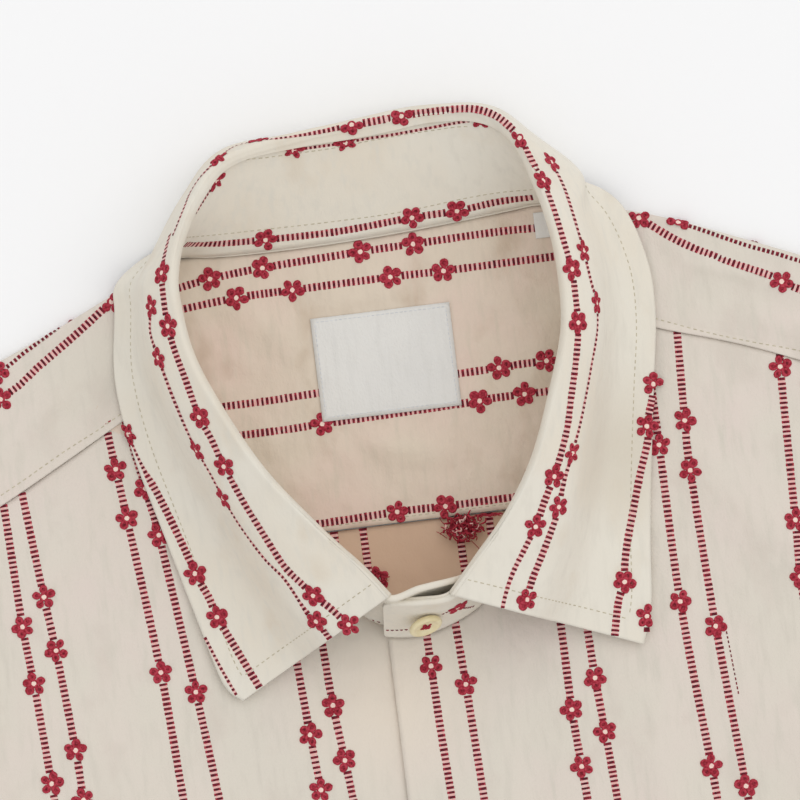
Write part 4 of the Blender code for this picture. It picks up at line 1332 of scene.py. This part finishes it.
def make_band_edges():
    """The rolled upper edges of the stand's two ends, where the leaf doesn't cover them."""
    edges = Threads(None)
    for first, end in UPPER_ROLLS:
        t = np.linspace(first, end, 30)
        line = stand_point(t, 1 - CORNER_DROP * rounded(t) - ROLL_BELOW)
        add_tube(edges, to_frame(line), BAND_ROLL, 0, 10)
        if first > 1:
            add_tube(edges, to_frame(line + INNER_ROLL_OFF), INNER_ROLL, 0, 10)
    foot = stand_point(np.linspace(*SEAM_ROLL_RUN, 90), 0.0) + SEAM_ROLL_OFF
    add_tube(edges, to_frame(foot), SEAM_ROLL, 0, 8)
    edges.build("band_edges", (COLLAR_CLOTH,), "collar_cloth")


def leaf_grid(t, q):
    """The leaf's sections: from inside the fold, over it, out to the swell and down to the edge."""
    row = along(COLLAR, t)
    seam, crest, belly, edge = row[:, 0:3], row[:, 3:6].copy(), row[:, 6:9], row[:, 9:12]
    up = (crest - seam) / np.linalg.norm(crest - seam, axis=1)[:, None]
    run = np.gradient(crest, axis=0)
    inward = np.cross(up, run)
    inward = inward / np.linalg.norm(inward, axis=1)[:, None]
    wrong = np.sum(inward * (np.array(NECK_CENTRE) - crest), axis=1) < 0
    inward[wrong] = -inward[wrong]
    lip = crest - up * np.interp(t, LIP_AT, LIP_DEPTH)[:, None] + inward * LEAF_INNER
    bend = crest - up * LEAF_BEND + inward * LEAF_INNER
    crest[:, 2] += FOLD_RISE
    out = belly[:, :2] - crest[:, :2]
    out = out / np.linalg.norm(out, axis=1)[:, None]
    turn = crest + np.concatenate([out * FOLD_ROUND, np.full((len(out), 1), -FOLD_DROP)], axis=1)
    under = belly - np.concatenate([out * LEAF_TUCK, np.zeros((len(out), 1))], axis=1)
    under[:, 2] = np.maximum(LEAF_LOWEST, edge[:, 2])
    low = belly + (edge - belly) * (LOW_SHARE, LOW_SHARE, 1 - LOW_RISE)
    low = low + (under - low) * np.clip(row[:, 12:13], 0, 1)
    points = np.stack([lip, bend, crest, turn, belly, low, edge])
    grid = along(points, q)
    grid[..., 2] = np.maximum(grid[..., 2], LEAF_LOWEST)
    return np.swapaxes(grid, 0, 1)


def make_leaf():
    """The turned-down leaf."""
    t = np.linspace(0, len(COLLAR) - 1, (len(COLLAR) - 1) * 10 + 1)
    q = np.concatenate([np.linspace(0, 3, 16), np.linspace(3, 6, 34)[1:]])
    grid = leaf_grid(t, q)
    return shell("collar_leaf", [grid], LEAF_THICK, COLLAR_CLOTH)


def make_trim(name, box):
    """A small flat piece on the inner yoke."""
    x0, x1, y0, y1 = box
    u = np.linspace(x0, x1, 24)
    v = np.linspace(y0, y1, 20)
    plan = np.stack(np.meshgrid(u, v), axis=-1)
    height = np.maximum(lining_height(plan[..., 0], plan[..., 1]), LINING_LEVEL - 0.1) + LABEL_OFF
    return shell(name, [with_height(plan, height)], LABEL_THICK, WHITE_TAPE)


def add_tube(threads, points, radius, kind, sides=4):
    """A round thread or roll of cloth through points of the frame."""
    rings, faces = [], []
    points = np.asarray(points)
    for k, point in enumerate(points):
        onward = unit(points[min(k + 1, len(points) - 1)] - points[max(k - 1, 0)])
        across = unit(np.cross(onward, (0.3, 0.2, 1.0)))
        up = np.cross(across, onward)
        thin = radius * MM * (0.5 if k in (0, len(points) - 1) else 1.0)
        for j in range(sides):
            turn = 2 * math.pi * j / sides
            rings.append(point + (across * math.cos(turn) + up * math.sin(turn)) * thin)
        if k:
            for j in range(sides):
                a, b = sides * (k - 1) + j, sides * (k - 1) + (j + 1) % sides
                faces.append((a, b, b + sides, a + sides))
    threads.add(rings, faces, [kind] * len(faces))


def make_button(name, centre, normal):
    """A turned button with four holes and its thread."""
    around = 40
    normal = unit(np.asarray(normal, float))
    across = unit(np.cross(normal, (0.0, 1.0, 0.0) if abs(normal[1]) < 0.9 else (1.0, 0.0, 0.0)))
    onward = np.cross(normal, across)
    parts = Threads(None)
    local, faces = [], []
    for r, z in BUTTON_PROFILE:
        for k in range(around):
            turn = 2 * math.pi * k / around
            local.append((r * math.cos(turn), r * math.sin(turn), z))
    for j in range(len(BUTTON_PROFILE) - 1):
        for k in range(around):
            a, b = around * j + k, around * j + (k + 1) % around
            faces.append((a, b, b + around, a + around))
    parts.add(place(centre, across, onward, normal, local), faces, [0] * len(faces))
    for x in (-HOLE_OUT, HOLE_OUT):
        for y in (-HOLE_OUT, HOLE_OUT):
            hole = centre + (across * x + onward * y) * MM
            add_disc(parts, hole, across, onward, normal, HOLE_RADIUS, HOLE_LEVEL, 1, around=12)
    for x in (-HOLE_OUT, 0.0, HOLE_OUT):
        shift = 0.0 if x else 0.3
        for lift in (1.85, 2.0):
            line = [(x + shift, -1.15, 1.5), (x + shift * 0.5, -0.5, lift), (x, 0.5, lift)]
            line.append((x - shift, 1.15, 1.5))
            add_tube(parts, place(centre, across, onward, normal, line), BUTTON_THREAD, 1, 6)
    line = [(-1.2, -1.0, 1.6), (0.0, 0.1, 2.15), (1.2, 1.0, 1.6)]
    add_tube(parts, place(centre, across, onward, normal, line), BUTTON_THREAD, 1, 6)
    piece = parts.build(name + "_turned", (HORN, RED_THREAD), "button")
    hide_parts(name)


def add_fibre(threads, start, middle, end, level, arch, thin, thick, kind):
    """A loose thread that rises from the cloth and comes down again."""
    plan = path(np.array([start, middle, end]))(np.linspace(0, 1, 6))
    height = level + arch * np.sin(np.linspace(0.2, 2.9, 6))
    add_tube(threads, to_frame(with_height(plan, height)), RANDOM.uniform(thin, thick), kind)


def make_fray(threads):
    """The clump of loose red threads at the yoke's seam."""
    middle = np.array(FRAY_MIDDLE)
    for x, y in ((-2.2, 0.4), (2.0, -0.6), (0.2, 1.2)):
        point, normal = drop(threads.tree, [middle + (x, y + FRAY_BELOW)])[0]
        below = np.array([0.0, -FRAY_BELOW * MM, 0.0004])
        add_disc(threads, point + below, np.array([1.0, 0, 0]), np.array([0, 1.0, 0]), normal, 2.1, 0.7, RED)
    for k in range(FRAY_COUNT):
        angle = RANDOM.uniform(0, 2 * math.pi)
        reach = FRAY_REACH * math.sqrt(RANDOM.uniform(0.01, 1.0))
        start = middle + (math.cos(angle) * reach * 1.25, math.sin(angle) * reach * 0.8)
        bend = RANDOM.uniform(-1.3, 1.3, 2)
        end = start + RANDOM.uniform(-2.1, 2.1, 2)
        arch = 1.2 * RANDOM.uniform(0.5, 1.6)
        kind = RED if k % 7 else PINK
        add_fibre(threads, start, (start + end) / 2 + bend, end, FRAY_LEVEL, arch, 0.14, 0.36, kind)
    for _ in range(SEAM_FRAY_COUNT):
        x = RANDOM.uniform(SEAM_FRAY[0], SEAM_FRAY[1])
        y = RANDOM.uniform(SEAM_FRAY[2], SEAM_FRAY[3]) - 0.4
        line = np.array([(x, y), (x + 1.0, y + RANDOM.uniform(-0.5, 0.5)), (x + 2.0, y)])
        plan = path(line)(np.linspace(0, 1, 5))
        row = to_frame(with_height(plan, np.full(5, SEAM_FRAY_LEVEL)))
        add_tube(threads, row, RANDOM.uniform(0.12, 0.26), RED)
    for line in STRAY_THREADS:
        plan = path(line)(np.linspace(0, 1, 12))
        add_tube(threads, to_frame(with_height(plan, np.full(12, STRAY_LEVEL))), STRAY_RADIUS, RED)


def make_loose_flower(threads):
    """A flower on the back, below the yoke's seam, some of its thread pulled loose."""
    point, normal = drop(threads.tree, [LOOSE_FLOWER])[0]
    add_flower(threads, point, np.array([0.3, 1.0, 0.0]), normal, False)
    middle = np.array(LOOSE_FLOWER)
    for k in range(LOOSE_COUNT):
        angle = RANDOM.uniform(0, 2 * math.pi)
        start = middle + np.array([math.cos(angle), math.sin(angle)]) * RANDOM.uniform(0.4, 2.6)
        end = start + RANDOM.uniform(-2.2, 2.2, 2)
        halfway = (start + end) / 2 + RANDOM.uniform(-1, 1, 2)
        arch = 0.9 * RANDOM.uniform(0.5, 1.5)
        kind = PETAL if k % 3 else RED
        add_fibre(threads, start, halfway, end, LOOSE_LEVEL, arch, 0.15, 0.3, kind)


def leaf_hits(t, q):
    """Places and outward normals of the leaf at given stations and shares."""
    places, normals = [], []
    step = 0.02
    for a, b in zip(np.clip(t, step, len(COLLAR) - 1 - step), q):
        square = leaf_grid(np.array([a - step, a, a + step]), np.array([b - step, b, b + step]))
        places.append(square[1, 1])
        normals.append(unit(np.cross(square[2, 1] - square[0, 1], square[1, 2] - square[1, 0])))
    return np.array(places), np.array(normals)


def sew_leaf(sewing):
    """The leaf's rows of top stitching, an even way in from its outer edge and from its two ends."""
    t = np.linspace(0, len(COLLAR) - 1, 481)
    q = np.linspace(2.2, 6, 96)
    grid = leaf_grid(t, q)
    down = np.linalg.norm(np.diff(grid, axis=1), axis=2)
    to_edge = np.cumsum(down[:, ::-1], axis=1)[:, ::-1]
    row_q = np.array([np.interp(-LEAF_SEAM, -to_edge[k], q[:-1]) for k in range(len(t))])
    round_it = np.linalg.norm(np.diff(grid, axis=0), axis=2)
    to_left = np.cumsum(round_it, axis=0)
    to_right = np.cumsum(round_it[::-1], axis=0)[::-1]
    left_t = np.array([np.interp(LEAF_SEAM, to_left[:, j], t[1:]) for j in range(len(q))])
    right_t = np.array([np.interp(-LEAF_SEAM, -to_right[:, j], t[:-1]) for j in range(len(q))])
    first, last = left_t[int(0.9 * len(q))], right_t[int(0.9 * len(q))]
    between = (t >= first) & (t <= last)
    lines = [(t[between], row_q[between])]
    for ends, corner in ((left_t, first), (right_t, last)):
        inside = q <= np.interp(corner, t, row_q)
        lines.append((ends[inside], q[inside]))
    for line_t, line_q in lines:
        places, normals = leaf_hits(line_t, line_q)
        found = [(to_frame(p) + n * LEAF_THICK / 2 * MM, n) for p, n in zip(places, normals)]
        sew(sewing, None, hits=found)


def make_light():
    """An even white surround with one broad soft light."""
    world = bpy.data.worlds.new("studio")
    bpy.context.scene.world = world
    world.use_nodes = True
    ground = world.node_tree.nodes["Background"]
    ground.inputs["Color"].default_value = (1.0, 0.99, 0.975, 1.0)
    ground.inputs["Strength"].default_value = 0.82
    lamp = bpy.data.lights.new("key", "SUN")
    lamp.energy = 0.6
    lamp.angle = math.radians(70)
    lamp.color = (1.0, 0.985, 0.96)
    key = bpy.data.objects.new("key", lamp)
    bpy.context.scene.collection.objects.link(key)
    key.rotation_euler = (math.radians(-22), math.radians(26), 0)
    bpy.context.scene.view_settings.view_transform = "Standard"


def make_floor():
    """The pale surface under the shirt."""
    mesh = bpy.data.meshes.new("floor")
    half = 2.5
    level = -0.0004
    corners = [(x * half, y * half, level) for x, y in ((-1, -1), (1, -1), (1, 1), (-1, 1))]
    mesh.from_pydata(corners, [], [(0, 1, 2, 3)])
    mesh.materials.append(plain_finish("pale floor", (0.955, 0.965, 0.985), roughness=1.0))
    floor = bpy.data.objects.new("floor", mesh)
    bpy.context.scene.collection.objects.link(floor)


def make_camera():
    """A camera straight above the neck, turned as in the photo."""
    distance = 5.0
    width = 0.256
    middle = (1.0, -52.2, 0.0)
    turn = -7
    lens = bpy.data.cameras.new("camera")
    lens.sensor_width = 36.0
    lens.lens = 36.0 * distance / width
    lens.clip_end = 20.0
    camera = bpy.data.objects.new("camera", lens)
    bpy.context.scene.collection.objects.link(camera)
    x, y, _ = to_frame(middle)
    camera.location = (x, y, distance)
    camera.rotation_euler = (0, 0, math.radians(turn))
    bpy.context.scene.camera = camera


def main():
    """Build the shirt, its threads, the stage and the camera."""
    back = make_back()
    yoke = make_yoke()
    lining = make_lining()
    left = make_front("front_left", -1)
    right = make_front("front_right", 1)
    sleeves = {side: make_sleeve(name, side) for name, side in (("sleeve_left", -1), ("sleeve_right", 1))}
    stand = make_stand()
    leaf = make_leaf()
    make_band_edges()
    label = make_trim("label", LABEL)
    make_trim("size_tab", SIZE_TAB)
    trees = {p: tree_of(p) for p in (back, yoke, lining, left, right, stand, leaf, *sleeves.values())}
    under_back, under_yoke, on_sleeve = hidden_stripes()

    made = {}
    lefts = [continued(s) for s in LEFT_STRIPES]
    rights = [continued(s) for s in RIGHT_STRIPES]
    for n in (1, 2, 3):
        lefts += [beside(lefts[k], -REPEAT * n, -9.0 * n) for k in (0, 1)]
        rights += [beside(rights[k], REPEAT * n, -7.0 * n) for k in (6, 7)]
    for piece, stripes in ((left, lefts), (right, rights)):
        made[piece] = Threads(trees[piece])
        lay_stripes(made[piece], stripes, in_view)
    lay_stripes(made[right], PULLED_THREADS, in_view, cut=0.16)
    made[yoke] = Threads(trees[yoke])
    lay_stripes(made[yoke], LEFT_SHOULDER + RIGHT_SHOULDER, in_view)
    lay_stripes(made[yoke], SHOULDER_FOLD_STRIPES, in_view, cut=0.55)
    lay_stripes(made[yoke], under_yoke, nowhere, from_below=True)
    made[lining] = Threads(trees[lining])
    lay_stripes(made[lining], LINING_STRIPES, lambda x, y: abs(x) < LINING_VIEW_X)
    made[stand] = Threads(trees[stand])
    lay_stripes(made[stand], STAND_STRIPES, in_view)
    lay_stripes(made[stand], FOLD_STRIPES, in_view)
    lay_stripes(made[stand], BAND_STRIPES, in_view, cut=0.36)
    made[leaf] = Threads(trees[leaf])
    lay_stripes(made[leaf], LEAF_STRIPES, in_view)
    lay_stripes(made[leaf], CREST_STRIPES, in_view)
    made[back] = Threads(trees[back])
    for x in BACK_STRIPE_X:
        plan = ((x, -88.0), (x + 0.6, -130.0), (x + 1.0, -200.0), (x, -560.0))
        lay_stripes(made[back], [woven(plan)], lambda x, y: y > BACK_VIEW_Y)
    lay_stripes(made[back], under_back, nowhere, from_below=True)
    for side, sleeve in sleeves.items():
        made[sleeve] = Threads(trees[sleeve])
        stripes = on_sleeve
        if side < 0:
            stripes = [Stripe(mirrored(s.points), mirrored(s.flowers)) for s in on_sleeve]
        lay_stripes(made[sleeve], stripes, nowhere)
        lay_stripes(made[sleeve], stripes, nowhere, from_below=True)
    make_fray(made[lining])
    make_loose_flower(made[back])
    slots = {leaf: "collar_cloth", stand: "collar_cloth", lining: "inner_yoke_cloth"}
    for piece, threads in made.items():
        name = piece.name.replace("_cloth", "_stripes")
        threads.build(name, STRIPE_FINISHES, slots.get(piece, "shirt_cloth"))

    sewing = Threads(trees[leaf])
    sew_leaf(sewing)
    sewing.build("leaf_stitches", (SEWING,), "collar_cloth")
    for piece, name, slot, rows in (
        (stand, "stand_stitches", "collar_cloth", STAND_SEWING),
        (yoke, "yoke_stitches", "shirt_cloth", YOKE_SEWING),
        (lining, "lining_stitches", "inner_yoke_cloth", LINING_SEWING),
    ):
        sewing = Threads(trees[piece])
        for row in rows:
            sew(sewing, row)
        sewing.build(name, (SEWING,), slot)
    sewing = Threads(tree_of(label))
    x0, x1, y0, y1 = np.array(LABEL) + np.array((1, -1, 1, -1)) * LABEL_INSET
    for row in (((x0, y0), (x0, y1)), ((x1, y0), (x1, y1)), ((x0, y0), (x1, y0)), ((x0, y1), (x1, y1))):
        sew(sewing, row, stitch=1.0, pitch=1.5, width=0.26)
    sewing.build("label_stitches", (LABEL_SEWING,), "white_tape")

    t = len(STAND_ROWS) - len(OVER_END)
    here = stand_point(t, COLLAR_BUTTON_AT)
    run = stand_point(t + 0.3, COLLAR_BUTTON_AT) - stand_point(t - 0.3, COLLAR_BUTTON_AT)
    normal = unit(np.cross(stand_point(t, 1.0) - stand_point(t, 0.0), run))
    if normal[2] < 0:
        normal = -normal
    tilted = unit(normal + np.array(BUTTON_TILT))
    make_button("button_collar", to_frame(here + normal * (STAND_THICK / 2 + BUTTON_LIFT)), tilted)
    for k in range(FRONT_BUTTONS):
        y = FIRST_BUTTON_Y - BUTTON_SPACING * k
        top = front_height(np.array([0.0]), np.array([y]), True)[0] + CLOTH / 2 + 0.3
        make_button(f"button_{k + 1}", to_frame((0.0, y, top)), (0, 0, 1))

    make_light()
    make_floor()
    make_camera()


main()
